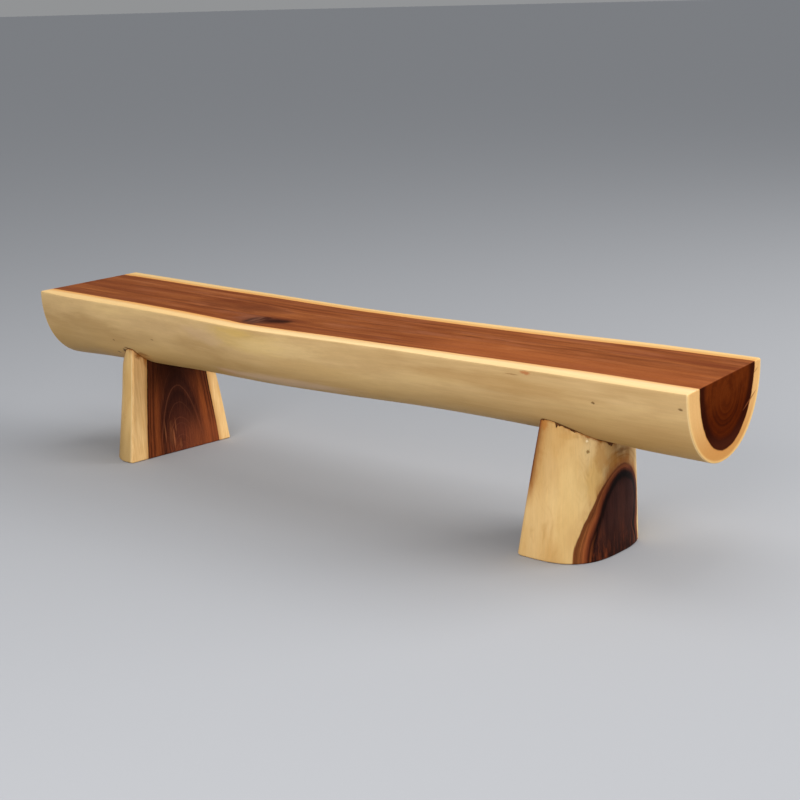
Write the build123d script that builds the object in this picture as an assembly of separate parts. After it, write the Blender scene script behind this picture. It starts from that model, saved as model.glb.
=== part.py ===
"""Rustic log bench: half a log, sawn side up, on two upright half-log legs.

Millimetres. X runs along the seat, -Y is the front, +Z is up. The origin is on the floor,
under the middle of the bench's bounding box.
"""

from build123d import *

import math
import os

# ---------------------------------------------------------------- driving dimensions
SEAT_LENGTH = 2024.0  # overall length of the half log
SEAT_HEIGHT = 426.0  # floor to the sawn top
SEAT_HALF_WIDTH = 178.0  # nominal half width of the sawn top
SEAT_DEPTH = 175.0  # nominal depth of the half log below its sawn top
SEAT_EXPONENT = 2.0  # 2 is a true ellipse, more is squarer
SEAT_ARRIS = 4.0  # easing of the two long top edges

# The log as it grew: fraction of the half length, sideways bow of the heart,
# extra half width and extra depth there.
SEAT_GROWTH = [
    (-1.00, 18.5, -3.0, 25.0),
    (-0.84, 7.0, 1.0, 17.0),
    (-0.60, -1.0, -3.5, 9.0),
    (-0.40, -10.5, -2.0, 3.0),
    (-0.18, -24.5, 1.0, -2.5),
    (0.00, -21.5, -5.0, -6.0),
    (0.25, -6.2, -6.8, -10.5),
    (0.50, 4.5, -2.0, -10.5),
    (0.70, 15.8, 3.8, -5.0),
    (0.84, 18.6, 6.2, 2.0),
    (1.00, 20.0, 4.5, 4.5),
]
LEFT_END_SKEW = 2.2  # degrees that each end cut is out of square, seen from above
RIGHT_END_SKEW = 5.5

LEG_TOP_BELOW_SEAT_TOP = 81.0  # sawn top of the seat to the top of a leg, before coping
LEG_HEIGHT = SEAT_HEIGHT - LEG_TOP_BELOW_SEAT_TOP

# Each leg is half of a short log: its saw cut faces the middle of the bench, its round
# side faces outwards.
#   side          which end of the bench, along X
#   face_x        saw cut to the middle of the bench, at the floor
#   lean          degrees that the saw cut leans outwards as it rises
#   skew          degrees that the block is turned, seen from above
#   centre_y      middle of the block across the bench
#   pith_inset    widest line of the block, behind the saw cut
#   edge_radius   easing of the two upright edges of the saw cut
#   fixing_inset  bolt and dowels, behind the saw cut's line at the floor
#   levels        fraction of LEG_HEIGHT, half depth outwards, half width, exponent, drift
#                 outwards, drift towards the back
LEGS = {
    "left": {
        "side": -1,
        "face_x": 627.0,
        "lean": 4.0,
        "skew": -4.9,
        "centre_y": -5.5,
        "pith_inset": 28.0,
        "edge_radius": 3.0,
        "fixing_inset": 61.0,
        "levels": [
            (0.0, 118.0, 170.0, 2.0, 0.0, 0.0),
            (0.487, 120.0, 142.5, 2.0, 0.0, 0.0),
            (0.722, 106.0, 128.5, 2.0, 5.0, -4.0),
            (0.849, 74.0, 120.0, 2.0, 8.0, -7.5),
            (1.0, 42.0, 112.0, 2.0, 12.0, -11.0),
        ],
    },
    "right": {
        "side": 1,
        "face_x": 578.0,
        "lean": 10.0,
        "skew": 0.0,
        "centre_y": 14.5,
        "pith_inset": 46.0,
        "edge_radius": 16.0,
        "fixing_inset": 110.0,
        "levels": [
            (0.0, 132.0, 146.5, 2.8, 0.0, 0.0),
            (0.487, 120.0, 142.0, 2.5, 10.0, 0.0),
            (1.0, 106.0, 134.0, 2.1, 22.0, 0.0),
        ],
    },
}

# The joint: the leg is coped to the log over a bed of glue and sawdust.
FILLER_BED = 1.6  # thickness of the bed
BED_GAP = 0.3  # kept each side of the bed, between curved faces

DOWEL_RADIUS = 12.5
DOWEL_LENGTH = 120.0
DOWEL_SPREAD = 68.0  # dowel to the bolt, along Y
DOWEL_CHAMFER = 2.0
DOWEL_FLUTES = 16
FLUTE_RADIUS = 0.9
DOWEL_CLEARANCE = 0.15
DOWEL_END_ROOM = 2.0

BOLT_RADIUS = 6.0
BOLT_THREAD_DEPTH = 1.5
BOLT_ROOT_RADIUS = BOLT_RADIUS - BOLT_THREAD_DEPTH
BOLT_LENGTH = 200.0  # under the head
BOLT_INTO_SEAT = 95.0
BOLT_THREAD_LENGTH = 110.0
BOLT_PITCH = 5.0
BOLT_TIP = 12.0
BOLT_CLEARANCE = 0.3
BOLT_END_ROOM = 3.0
HEAD_ACROSS_FLATS = 19.0
HEAD_HEIGHT = 8.0
HEAD_FACE_EDGE = 0.4  # flats to the round face left inside the head's bevelled corners
HEAD_FACE_RADIUS = HEAD_ACROSS_FLATS / 2 - HEAD_FACE_EDGE
HEAD_CHAMFER_ANGLE = 30.0
WASHER_RADIUS = 15.0
WASHER_THICKNESS = 2.5
WASHER_BORE_CLEARANCE = 0.5
WASHER_BORE_RADIUS = BOLT_RADIUS + WASHER_BORE_CLEARANCE
COUNTERBORE_CLEARANCE = 2.0
COUNTERBORE_RADIUS = WASHER_RADIUS + COUNTERBORE_CLEARANCE

OUTLINE_POINTS = 24  # fitted points round each log section
LOG_SECTIONS = 25  # sections along the seat log
LEG_SECTIONS = 7  # sections up each leg
END_WASTE = 40.0  # log past each end cut
REACH = 3000.0  # larger than the bench, for the cutting blocks


# ---------------------------------------------------------------- shapes of wood
def ring(half_a, half_b, exponent):
    """Points round a superellipse: both half axes, and an exponent that squares it."""
    points = []
    for i in range(OUTLINE_POINTS):
        angle = 2 * math.pi * i / OUTLINE_POINTS
        c, s = math.cos(angle), math.sin(angle)
        a = half_a * math.copysign(abs(c) ** (2 / exponent), c)
        b = half_b * math.copysign(abs(s) ** (2 / exponent), s)
        points.append((a, b))
    return points


def closed_face(points):
    """A face inside a smooth closed curve through the points."""
    return make_face(Spline(*points, periodic=True))


def between(stations, place):
    """Values at a place among stations, on a smooth curve through every station.

    Each station starts with its own place. Between two of them the curve is a cubic whose
    slope at a station is that of the line joining its two neighbours.
    """
    last = len(stations) - 1
    i = 0
    while i < last - 1 and place > stations[i + 1][0]:
        i += 1
    before, low = stations[max(i - 1, 0)], stations[i]
    high, after = stations[i + 1], stations[min(i + 2, last)]
    span = high[0] - low[0]
    t = min(max((place - low[0]) / span, 0.0), 1.0)
    values = []
    for p0, p1, p2, p3 in zip(before[1:], low[1:], high[1:], after[1:]):
        slope_low = (p2 - p0) / (high[0] - before[0]) * span
        slope_high = (p3 - p1) / (after[0] - low[0]) * span
        cube = (2 * t**3 - 3 * t**2 + 1) * p1 + (t**3 - 2 * t**2 + t) * slope_low
        values.append(cube + (3 * t**2 - 2 * t**3) * p2 + (t**3 - t**2) * slope_high)
    return values


def spread(low, high, count):
    """Evenly spaced numbers from low to high."""
    return [low + (high - low) * i / (count - 1) for i in range(count)]


def growth_at(x):
    """Bow, half width and depth of the seat log at a place along it."""
    bow, wider, deeper = between(SEAT_GROWTH, x / (SEAT_LENGTH / 2))
    return bow, SEAT_HALF_WIDTH + wider, SEAT_DEPTH + deeper


def whole_log(grow=0.0):
    """The seat log before it is sawn in half, with its surface moved out by grow."""
    sections = []
    reach = SEAT_LENGTH / 2 + END_WASTE
    for x in spread(-reach, reach, LOG_SECTIONS):
        bow, half_width, depth = growth_at(x)
        points = [
            Vector(x, bow + y, SEAT_HEIGHT + z)
            for y, z in ring(half_width + grow, depth + grow, SEAT_EXPONENT)
        ]
        sections.append(closed_face(points))
    return loft(sections)


def end_block(side, skew):
    """Everything past one end cut, whose outermost corner reaches the overall length."""
    bow, half_width, _ = growth_at(side * SEAT_LENGTH / 2)
    corner_y = half_width - side * bow
    middle_x = SEAT_LENGTH / 2 - corner_y * math.tan(math.radians(skew))
    block = Pos(side * REACH / 2, 0, 0) * Box(REACH, REACH, REACH)
    return Pos(side * middle_x, 0, 0) * Rot(0, 0, skew) * block


def seat_blank():
    """The half log: sawn along the top and across both ends."""
    above = Pos(0, 0, SEAT_HEIGHT + REACH / 2) * Box(REACH, REACH, REACH)
    seat = whole_log() - above - end_block(-1, LEFT_END_SKEW) - end_block(1, RIGHT_END_SKEW)
    top = seat.faces().sort_by(Axis.Z)[-1]
    return fillet(top.edges(), SEAT_ARRIS).solid()


def leg_blank(leg):
    """An upright short log, sawn down one side by a leaning plane."""
    side, levels = leg["side"], leg["levels"]
    sections = []
    for height in spread(0.0, LEG_HEIGHT, LEG_SECTIONS):
        half_depth, half_width, exponent, outwards, backwards = between(levels, height / LEG_HEIGHT)
        pith_x = side * (leg["pith_inset"] + outwards)
        points = [
            Vector(pith_x + x, backwards + y, height)
            for x, y in ring(half_depth, half_width, exponent)
        ]
        sections.append(closed_face(points))
    waste = Rot(0, side * leg["lean"], 0) * Pos(-side * REACH / 2, 0, 0) * Box(REACH, REACH, REACH)
    blank = (loft(sections) - waste).solid()
    tall = [e for e in blank.edges() if e.bounding_box().size.Z > LEG_HEIGHT * 0.8]
    corners = [e for e in tall if abs((e @ 0.5).Y) > levels[0][2] * 0.5]
    blank = fillet(corners, leg["edge_radius"])
    return Pos(side * leg["face_x"], leg["centre_y"], 0) * Rot(0, 0, leg["skew"]) * blank


# ---------------------------------------------------------------- fixings
def underside(x, y):
    """Height of the seat log's underside above the floor."""
    bow, half_width, depth = growth_at(x)
    across = abs(y - bow) / half_width
    return SEAT_HEIGHT - depth * (1 - across**SEAT_EXPONENT) ** (1 / SEAT_EXPONENT)


def upright_rod(x, y, low, high, radius):
    """A plain round rod on a vertical axis."""
    return Pos(x, y, (low + high) / 2) * Cylinder(radius, high - low)


def dowel(x, y):
    """A fluted hardwood dowel, half in the leg and half in the seat."""
    middle = underside(x, y)
    rod = Cylinder(DOWEL_RADIUS, DOWEL_LENGTH)
    rod = chamfer(rod.edges().filter_by(GeomType.CIRCLE), DOWEL_CHAMFER)
    for place in PolarLocations(DOWEL_RADIUS, DOWEL_FLUTES):
        rod -= place * Cylinder(FLUTE_RADIUS, DOWEL_LENGTH)
    return (Pos(x, y, middle) * rod).solid()


def dowel_hole(x, y):
    """The hole that a dowel needs, through the bed and blind at both ends."""
    middle = underside(x, y)
    reach = DOWEL_LENGTH / 2 + DOWEL_END_ROOM
    return upright_rod(x, y, middle - reach, middle + reach, DOWEL_RADIUS + DOWEL_CLEARANCE)


def lag_bolt(x, y):
    """A hexagon-headed wood screw that points up; its thread is drawn as rings."""
    tip = underside(x, y) + BOLT_INTO_SEAT
    seat = tip - BOLT_LENGTH
    thread_start = tip - BOLT_THREAD_LENGTH
    turns = int((BOLT_THREAD_LENGTH - BOLT_TIP) / BOLT_PITCH)
    outline = [(0, seat), (BOLT_RADIUS, seat), (BOLT_RADIUS, thread_start)]
    for i in range(turns):
        z = thread_start + i * BOLT_PITCH
        outline.append((BOLT_ROOT_RADIUS, z + BOLT_PITCH * 0.3))
        outline.append((BOLT_ROOT_RADIUS, z + BOLT_PITCH * 0.7))
        outline.append((BOLT_RADIUS, z + BOLT_PITCH))
    outline += [(BOLT_ROOT_RADIUS, tip - BOLT_TIP), (0, tip)]
    half = make_face(Polyline(*[(r, 0, z) for r, z in outline], close=True))
    shank = revolve(half, Axis.Z)
    head = extrude(RegularPolygon(HEAD_ACROSS_FLATS / 2, 6, major_radius=False), -HEAD_HEIGHT)
    wide = HEAD_FACE_RADIUS + HEAD_HEIGHT / math.tan(math.radians(HEAD_CHAMFER_ANGLE))
    bevel = Pos(0, 0, -HEAD_HEIGHT / 2) * Cone(HEAD_FACE_RADIUS, wide, HEAD_HEIGHT)
    return (Pos(x, y, 0) * (shank + Pos(0, 0, seat) * (head & bevel))).solid()


def washer(x, y):
    """The plain washer between the bolt's head and the end of the counterbore."""
    low = underside(x, y) + BOLT_INTO_SEAT - BOLT_LENGTH
    high = low + WASHER_THICKNESS
    disc = upright_rod(x, y, low, high, WASHER_RADIUS)
    return (disc - upright_rod(x, y, low, high, WASHER_BORE_RADIUS)).solid()


def bolt_hole(x, y):
    """Counterbore from the foot, then the hole for the bolt up into the seat."""
    tip = underside(x, y) + BOLT_INTO_SEAT
    shoulder = tip - BOLT_LENGTH + WASHER_THICKNESS
    narrow = upright_rod(x, y, shoulder, tip + BOLT_END_ROOM, BOLT_RADIUS + BOLT_CLEARANCE)
    return narrow + upright_rod(x, y, -BOLT_END_ROOM, shoulder, COUNTERBORE_RADIUS)


# ---------------------------------------------------------------- assembly
def make_nodes():
    """Every piece of the bench, by name, where it stands."""
    nodes = {}
    seat = seat_blank()
    bed_top = whole_log(BED_GAP)
    bed_bottom = whole_log(BED_GAP + FILLER_BED)
    cope = whole_log(2 * BED_GAP + FILLER_BED)
    for name, leg in LEGS.items():
        blank = leg_blank(leg)
        x = leg["side"] * (leg["face_x"] + leg["fixing_inset"])
        y = leg["centre_y"]
        ends = {"front": y - DOWEL_SPREAD, "back": y + DOWEL_SPREAD}
        post = blank - cope
        bed = (blank & bed_bottom) - bed_top
        for hole in [bolt_hole(x, y)] + [dowel_hole(x, dowel_y) for dowel_y in ends.values()]:
            post -= hole
            bed -= hole
            seat -= hole
        nodes[f"leg_{name}"] = post.solid()
        nodes[f"seam_filler_{name}"] = bed.solid()
        for end, dowel_y in ends.items():
            nodes[f"dowel_{name}_{end}"] = dowel(x, dowel_y)
        nodes[f"lag_bolt_{name}"] = lag_bolt(x, y)
        nodes[f"washer_{name}"] = washer(x, y)
    nodes["seat_log"] = seat.solid()
    return nodes


os.makedirs("parts", exist_ok=True)
for node_name, solid in make_nodes().items():
    box = solid.bounding_box()
    print(node_name, "volume", round(solid.volume), "low", box.min, "high", box.max)
    export_step(solid, f"parts/{node_name}.step")
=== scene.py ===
# %% [markdown]
# # A rustic log bench
# The bench is half a log of rain tree wood, sawn flat on top and round below. It stands on two
# upright half logs, whose tops are cut to fit the round. The heartwood is red-brown to nearly
# black, and a cream band of sapwood runs all round it.
# The measured frame is loaded first. The wood and the glue made here stand in for parts of it,
# in the same coordinates, and the bores take their places from its screws and dowels.

import math

import bpy
import numpy as np
from mathutils import Matrix, Vector


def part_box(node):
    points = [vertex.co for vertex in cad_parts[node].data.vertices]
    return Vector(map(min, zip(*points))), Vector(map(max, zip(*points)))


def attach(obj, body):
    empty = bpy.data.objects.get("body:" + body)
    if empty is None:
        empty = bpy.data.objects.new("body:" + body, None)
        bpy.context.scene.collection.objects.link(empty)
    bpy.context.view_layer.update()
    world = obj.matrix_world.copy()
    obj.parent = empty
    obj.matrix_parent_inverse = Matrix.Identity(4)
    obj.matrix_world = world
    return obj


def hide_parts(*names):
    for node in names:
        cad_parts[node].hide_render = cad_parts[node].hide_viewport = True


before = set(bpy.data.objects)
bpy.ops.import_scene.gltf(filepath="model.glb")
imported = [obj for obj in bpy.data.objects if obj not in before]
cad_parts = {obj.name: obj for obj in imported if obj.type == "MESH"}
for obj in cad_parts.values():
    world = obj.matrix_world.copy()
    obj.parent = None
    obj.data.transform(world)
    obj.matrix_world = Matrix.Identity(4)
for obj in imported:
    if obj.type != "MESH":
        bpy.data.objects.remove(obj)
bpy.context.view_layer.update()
print("frame nodes:", sorted(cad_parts))


def new_object(name, data):
    """An object of the scene that shows a mesh, a lamp or a camera."""
    made = bpy.data.objects.new(name, data)
    bpy.context.scene.collection.objects.link(made)
    return made


# %% [markdown]
# ## The camera
# The camera stands at the bench's right front, a little above it, with a long lens.
# Its aim is written as three turns: round the bench, down to it, and a slight tilt. A rotation
# matrix is built from them, because an "aim at this object" constraint would hide the tilt.

# %% Camera
IMAGE_SIDE = 800  # pixels, both ways
FOCAL_PIXELS = 1547.05
SENSOR = 36.0  # mm
EYE = (2.455, -2.6905, 1.1631)
ROUND, DOWN, TILT = np.radians([40.59, 14.38, -1.41])
ahead = Vector((
    -math.sin(ROUND) * math.cos(DOWN), math.cos(ROUND) * math.cos(DOWN), -math.sin(DOWN)
))
level = Vector((math.cos(ROUND), math.sin(ROUND), 0.0))
upward = level.cross(ahead)
right = math.cos(TILT) * level + math.sin(TILT) * upward
upward = math.cos(TILT) * upward - math.sin(TILT) * level
camera = new_object("camera", bpy.data.cameras.new("camera"))
axes = Matrix((right, upward, -ahead)).transposed().to_4x4()
camera.matrix_world = Matrix.Translation(EYE) @ axes
camera.data.sensor_width = SENSOR
camera.data.lens = FOCAL_PIXELS * SENSOR / IMAGE_SIDE
camera.data.clip_end = 1000.0
bpy.context.scene.camera = camera
print("lens", round(camera.data.lens, 2), "mm")

# %% [markdown]
# ## Shader helpers
# Colours and finishes are made of nodes, and a wood has some two hundred of them. A wire is one
# output of a node. Wires are added, subtracted, multiplied and divided like numbers, and each
# such step makes a Math node, so the recipes further down read as formulas.

# %% Wires
class Wire:
    """One output of a node. A step of arithmetic makes a Math node and gives its output."""

    def __init__(self, socket):
        self.socket, self.tree = socket, socket.id_data

    def __getitem__(self, name):
        """Another output of the same node."""
        return Wire(self.socket.node.outputs[name])

    def __add__(self, other):
        return calc("ADD", self, other)

    def __sub__(self, other):
        return calc("SUBTRACT", self, other)

    def __rsub__(self, other):
        return calc("SUBTRACT", other, self)

    def __mul__(self, other):
        return calc("MULTIPLY", self, other)

    def __truediv__(self, other):
        return calc("DIVIDE", self, other)


def connect(socket, value):
    """Links a wire to a socket, or sets the socket to a plain value."""
    if isinstance(value, Wire):
        value.tree.links.new(value.socket, socket)
    else:
        socket.default_value = value


def add(kind, inputs, out=0, tree=None, **settings):
    """A new node, by default in the tree of its first wire. It gives one output of the node."""
    if tree is None:
        tree = next(value.tree for value in inputs.values() if isinstance(value, Wire))
    made = tree.nodes.new("ShaderNode" + kind)
    for name, value in settings.items():
        setattr(made, name, value)
    for name, value in inputs.items():
        connect(made.inputs[name], value)
    return Wire(made.outputs[out])


# %% Numbers and vectors
def calc(operation, *values):
    """A Math node's result."""
    return add("Math", dict(enumerate(values)), operation=operation)


def vector_calc(operation, *values, out=0):
    """A Vector Math node's result."""
    return add("VectorMath", dict(enumerate(values)), out, operation=operation)


def split(vector):
    """The three numbers of a vector."""
    whole = add("SeparateXYZ", {0: vector})
    return whole["X"], whole["Y"], whole["Z"]


def steps(value, low, high, to_low=0.0, to_high=1.0, kind="LINEAR"):
    """Maps low..high to to_low..to_high and holds the ends."""
    spans = {"From Min": low, "From Max": high, "To Min": to_low, "To Max": to_high}
    return add("MapRange", {"Value": value, **spans}, interpolation_type=kind)


def fade(value, *spans):
    """The same with rounded corners."""
    return steps(value, *spans, kind="SMOOTHSTEP")


def cloud(vector, along, across, detail=3.0, rough=0.55, low=0.3, high=0.7, up=None):
    """Soft noise, as fine as along, across and up say. low becomes 0, and high becomes 1."""
    place = vector_calc("MULTIPLY", vector, (along, across, across if up is None else up))
    inputs = {"Vector": place, "Scale": 1.0, "Detail": detail, "Roughness": rough}
    return steps(add("TexNoise", inputs), low, high)


# %% Colours
def tone(red, green, blue):
    """A colour in screen values 0 to 255, as the linear light that shaders work in."""
    screen = np.array([red, green, blue]) / 255
    linear = np.where(screen > 0.04045, ((screen + 0.055) / 1.055) ** 2.4, screen / 12.92)
    return (*linear.tolist(), 1.0)


def mix(amount, first, second, blend="MIX"):
    """Two colours mixed by an amount."""
    return add("Mix", {0: amount, 6: first, 7: second}, 2, data_type="RGBA", blend_type=blend)


def lay(colour, *layers):
    """Lays tones over a colour in turn. A layer is a mask and a tone's three numbers."""
    for mask, *rgb in layers:
        colour = mix(mask, colour, tone(*rgb))
    return colour


def ramp(value, *stops):
    """A colour that changes with a value. A stop is a place and a tone's three numbers."""
    made = add("ValToRGB", {0: value})
    row = made.socket.node.color_ramp.elements
    for place, *_ in stops[2:]:
        row.new(place)
    for element, (place, *rgb) in zip(row, stops):
        element.position, element.color = place, tone(*rgb)
    return made


def new_finish(name):
    """A material, and the place of each point on the piece that wears it."""
    material = bpy.data.materials.new(name)
    material.use_nodes = True
    return material, add("TexCoord", {}, "Object", material.node_tree)


def coat(material, colour, rough, height, relief, constants):
    """Joins colour, roughness and height to a shader. relief is the bumps' strength and depth."""
    bump = add("Bump", {"Strength": relief[0], "Distance": relief[1], "Height": height})
    shader = material.node_tree.nodes["Principled BSDF"]
    inputs = {"Base Color": colour, "Roughness": rough, "Normal": bump, **constants}
    for name, value in inputs.items():
        connect(shader.inputs[name], value)


# %% [markdown]
# ## The light
# The light is a studio's: a wide soft sky overhead that fades towards the horizon, a large soft
# box behind on the right that reaches under the seat, one in front and one above. A sky picture
# would do the same, but a ramp on the height of the ray needs no file. The low, dim horizon
# keeps the polished top from turning milky, since a flat glossy surface mirrors what lies
# opposite the eye. What the eye itself sees past the floor is a plain pale wall.

# %% Sky and soft boxes
SKY_LOW, SKY_HIGH, WALL = 0.05, 0.8, 0.3
world = bpy.data.worlds.new("studio")
world.use_nodes = True
bpy.context.scene.world = world
sky = world.node_tree
ray_height = split(add("TexCoord", {}, "Generated", sky))[2]
glow = fade(ray_height, 0.3, 0.95, SKY_LOW, SKY_HIGH)
eye_ray = add("LightPath", {}, "Is Camera Ray", sky)
backdrop = sky.nodes["Background"].inputs
backdrop["Color"].default_value = (0.96, 0.98, 1.0, 1.0)
connect(backdrop["Strength"], add("Mix", {0: eye_ray, 2: glow, 3: WALL}))


def soft_box(name, place, aim_height, size, watts, tint):
    """A rectangular lamp that faces a point on the bench's upright middle line."""
    lamp = bpy.data.lights.new(name, "AREA")
    lamp.shape = "RECTANGLE"
    lamp.size, lamp.size_y = size
    lamp.energy = watts
    lamp.color = tint
    facing = Vector((0.0, 0.0, aim_height)) - Vector(place)
    turn = facing.to_track_quat("-Z", "Y").to_matrix().to_4x4()
    new_object(name, lamp).matrix_world = Matrix.Translation(place) @ turn


soft_box("key light", (5.0, 3.3, 3.4), 0.2, (4.4, 3.4), 350.0, (1.0, 0.985, 0.96))
soft_box("front light", (1.5, -4.4, 2.2), 0.2, (3.4, 2.0), 155.0, (1.0, 0.985, 0.97))
soft_box("top light", (0.0, 0.0, 3.4), 0.3, (3.4, 1.6), 22.0, (1.0, 0.985, 0.97))
bpy.context.scene.view_settings.view_transform = "Standard"

# %% [markdown]
# The floor is one large pale plate just under the feet. It isn't part of the bench.

# %% Floor
FLOOR_REACH, FLOOR_DROP = 400.0, 0.0003
floor_mesh = bpy.data.meshes.new("floor")
signs = ((-1, -1), (1, -1), (1, 1), (-1, 1))
corners = [(x * FLOOR_REACH, y * FLOOR_REACH, -FLOOR_DROP) for x, y in signs]
floor_mesh.from_pydata(corners, [], [(0, 1, 2, 3)])
floor = new_object("floor", floor_mesh)
floor_paint = bpy.data.materials.new("pale floor")
floor_paint.use_nodes = True
floor_coat = floor_paint.node_tree.nodes["Principled BSDF"].inputs
floor_coat["Base Color"].default_value = (0.42, 0.43, 0.455, 1.0)
floor_coat["Roughness"].default_value = 0.9
floor_coat["Specular IOR Level"].default_value = 0.15
floor_mesh.materials.append(floor_paint)
print("floor:", FLOOR_REACH * 2, "m wide")

# %% [markdown]
# ## Helpers for the wood's shapes
# A log is not a cylinder: its heart bows, and its width and depth change along it. Each of
# these sizes is known at a few stations, and a smooth line joins them. Whole arrays go through
# the helper at once, so no loop runs over the points of a surface.

# %% Smooth lines through stations
def through(stations, place):
    """Values at each place, on a smooth line through the stations.

    Each station is (place, value, value, ...). Between two stations the line is the cubic that
    leaves each with the slope of the chord between that station's two neighbours:
    v = h00*v0 + h10*span*slope0 + h01*v1 + h11*span*slope1, with Hermite's four weights.
    """
    table = np.array(stations, float)
    at, values = table[:, 0], table[:, 1:]
    order = np.arange(len(at))
    after, before = np.minimum(order + 1, len(at) - 1), np.maximum(order - 1, 0)
    slope = (values[after] - values[before]) / (at[after] - at[before])[:, None]
    place = np.asarray(place, float)
    low = np.clip(np.searchsorted(at, place) - 1, 0, len(at) - 2)
    span = (at[low + 1] - at[low])[..., None]
    t = np.clip((place - at[low])[..., None] / span, 0.0, 1.0)
    start = (2 * t**3 - 3 * t**2 + 1) * values[low] + (t**3 - 2 * t**2 + t) * span * slope[low]
    finish = (3 * t**2 - 2 * t**3) * values[low + 1] + (t**3 - t**2) * span * slope[low + 1]
    return np.moveaxis(start + finish, -1, 0)


def ease(value, low, high):
    """0 below low, 1 above high, and a smooth step 3t^2 - 2t^3 between them."""
    t = np.clip((value - low) / (high - low), 0.0, 1.0)
    return t * t * (3 - 2 * t)


def ripple(seed, *coordinates):
    """Soft random waves between about -1 and 1: the mean of cosines with random pace and phase."""
    draw = np.random.default_rng(seed)
    total = 0.0
    for _ in range(16):
        phase = draw.uniform(0, 2 * math.pi)
        total = total + np.cos(sum(c * draw.normal(0, 1.0) for c in coordinates) + phase)
    return total / 6.0


# %% [markdown]
# A finished surface is a grid of points: one direction runs along the piece and the other goes
# round it and closes on itself. A single point closes each end. This keeps every piece
# watertight, which a merge of separate parts would not promise.

# %% From grid to mesh
def skin(name, grid, first_pole, last_pole):
    """A closed mesh from a grid of rings, shape (rings, points, 3), with a point at each end."""
    rings, around = grid.shape[:2]
    points = np.concatenate([grid.reshape(-1, 3), [first_pole, last_pole]])
    here = np.arange(rings * around).reshape(rings, around)
    beside = np.roll(here, -1, axis=1)
    quads = np.stack([here[:-1], beside[:-1], beside[1:], here[1:]], -1).reshape(-1, 4)
    start, end = rings * around, rings * around + 1
    first_fan = np.stack([np.full(around, start), beside[0], here[0]], -1)
    last_fan = np.stack([np.full(around, end), here[-1], beside[-1]], -1)
    a, b, c, d = (points[quads[:, k]] for k in range(4))
    swept = (np.cross(b - a, c - a) * a).sum() + (np.cross(c - a, d - a) * a).sum()
    if swept < 0:
        quads, first_fan, last_fan = quads[:, ::-1], first_fan[:, ::-1], last_fan[:, ::-1]
    mesh = bpy.data.meshes.new(name)
    faces = [*quads.tolist(), *first_fan.tolist(), *last_fan.tolist()]
    mesh.from_pydata(points.tolist(), [], faces)
    mesh.update()
    return new_object(name, mesh)


def points_of(piece):
    """All vertex positions of a piece as an array of rows x, y, z."""
    rows = np.empty(len(piece.data.vertices) * 3, np.float32)
    piece.data.vertices.foreach_get("co", rows)
    return rows.reshape(-1, 3).astype(float)


def write_fields(piece, **fields):
    """Stores numbers at the points of a mesh, which a material reads by their names."""
    for name, values in fields.items():
        kept = piece.data.attributes.new(name, "FLOAT", "POINT")
        kept.data.foreach_set("value", np.asarray(values, np.float32))
        print(piece.name, name, round(float(values.min()), 3), "to", round(float(values.max()), 3))


# %% [markdown]
# ## The half log
# Seen in section the log is half an ellipse under a flat saw cut, and the two long edges are
# eased. The section is carried along the log, while its heart bows and its size changes.

# %% The log as it grew
SEAT_HALF, SEAT_TOP = 1.01195, 0.426
SEAT_GROWTH = [  # share of the half length, bow of the heart, half width, depth
    (-1.0, 0.0185, 0.175, 0.2), (-0.84, 0.007, 0.179, 0.192),
    (-0.6, -0.001, 0.1745, 0.184), (-0.4, -0.0105, 0.176, 0.178),
    (-0.18, -0.0245, 0.179, 0.1725), (0.0, -0.0215, 0.173, 0.169),
    (0.25, -0.0062, 0.1712, 0.1645), (0.5, 0.0045, 0.176, 0.1645),
    (0.7, 0.0158, 0.1818, 0.17), (0.84, 0.0186, 0.1842, 0.177), (1.0, 0.02, 0.1825, 0.1795),
]


def log_at(x):
    """Bow, half width and depth of the log at each place along it."""
    return through(SEAT_GROWTH, np.asarray(x) / SEAT_HALF)


def underside(x, y):
    """Height of the log's round underside: top - depth * sqrt(1 - (across / half width)^2)."""
    bow, half_width, depth = log_at(x)
    across = np.clip((y - bow) / half_width, -1.0, 1.0)
    return SEAT_TOP - depth * np.sqrt(1 - across**2)


def log_above(points):
    """Height of the log's underside over each of some points."""
    return underside(points[..., 0], points[..., 1])


ARRIS = 0.004
ARRIS_END = 0.0225  # angle at which the round takes over from the arris, in radians
top = np.r_[0.0, 0.004, np.linspace(0.02, 0.98, 60), 0.996] * 2 - 1
turn = np.radians(np.linspace(90, 0, 6)[:-1])
under = np.linspace(ARRIS_END, math.pi - ARRIS_END, 126)
still, ones = np.zeros_like, np.ones_like
SECTION = np.concatenate([  # weights of half width and arris in y, of depth and arris in z
    np.stack([top, -top, still(top), still(top)], -1),
    np.stack([ones(turn), np.cos(turn) - 1, still(turn), np.sin(turn) - 1], -1),
    np.stack([np.cos(under), still(under), -np.sin(under), still(under)], -1),
    np.stack([-ones(turn), 1 - np.cos(turn[::-1]), still(turn), np.sin(turn[::-1]) - 1], -1),
])
print("points round the seat:", len(SECTION))

# %% [markdown]
# Both end cuts are a little out of square. So each ring of the seat leans by a share of the
# two ends' angles. A point's place along the log depends on its place across it, and the other
# way about, so the pair is worked out in a few rounds until it settles.

# %% The seat's surface
LEFT_SKEW, RIGHT_SKEW = np.radians([2.2, 5.5])
JOINT_PLACE = 0.69  # how far from the middle the legs meet the log
HOLLOW, PLANED = 0.0012, 0.0002  # depth of the tool's marks on the round side and the top


def end_planes(y):
    """Where the two end cuts are: x = corner -/+ (reach of corner - y) * tan(skew)."""
    planes = []
    for side, skew in ((-1, LEFT_SKEW), (1, RIGHT_SKEW)):
        bow, half_width, _ = log_at(np.array(side * SEAT_HALF))
        middle = side * (SEAT_HALF - (half_width - side * bow) * math.tan(skew))
        planes.append(middle - y * math.tan(skew))
    return planes


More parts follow.
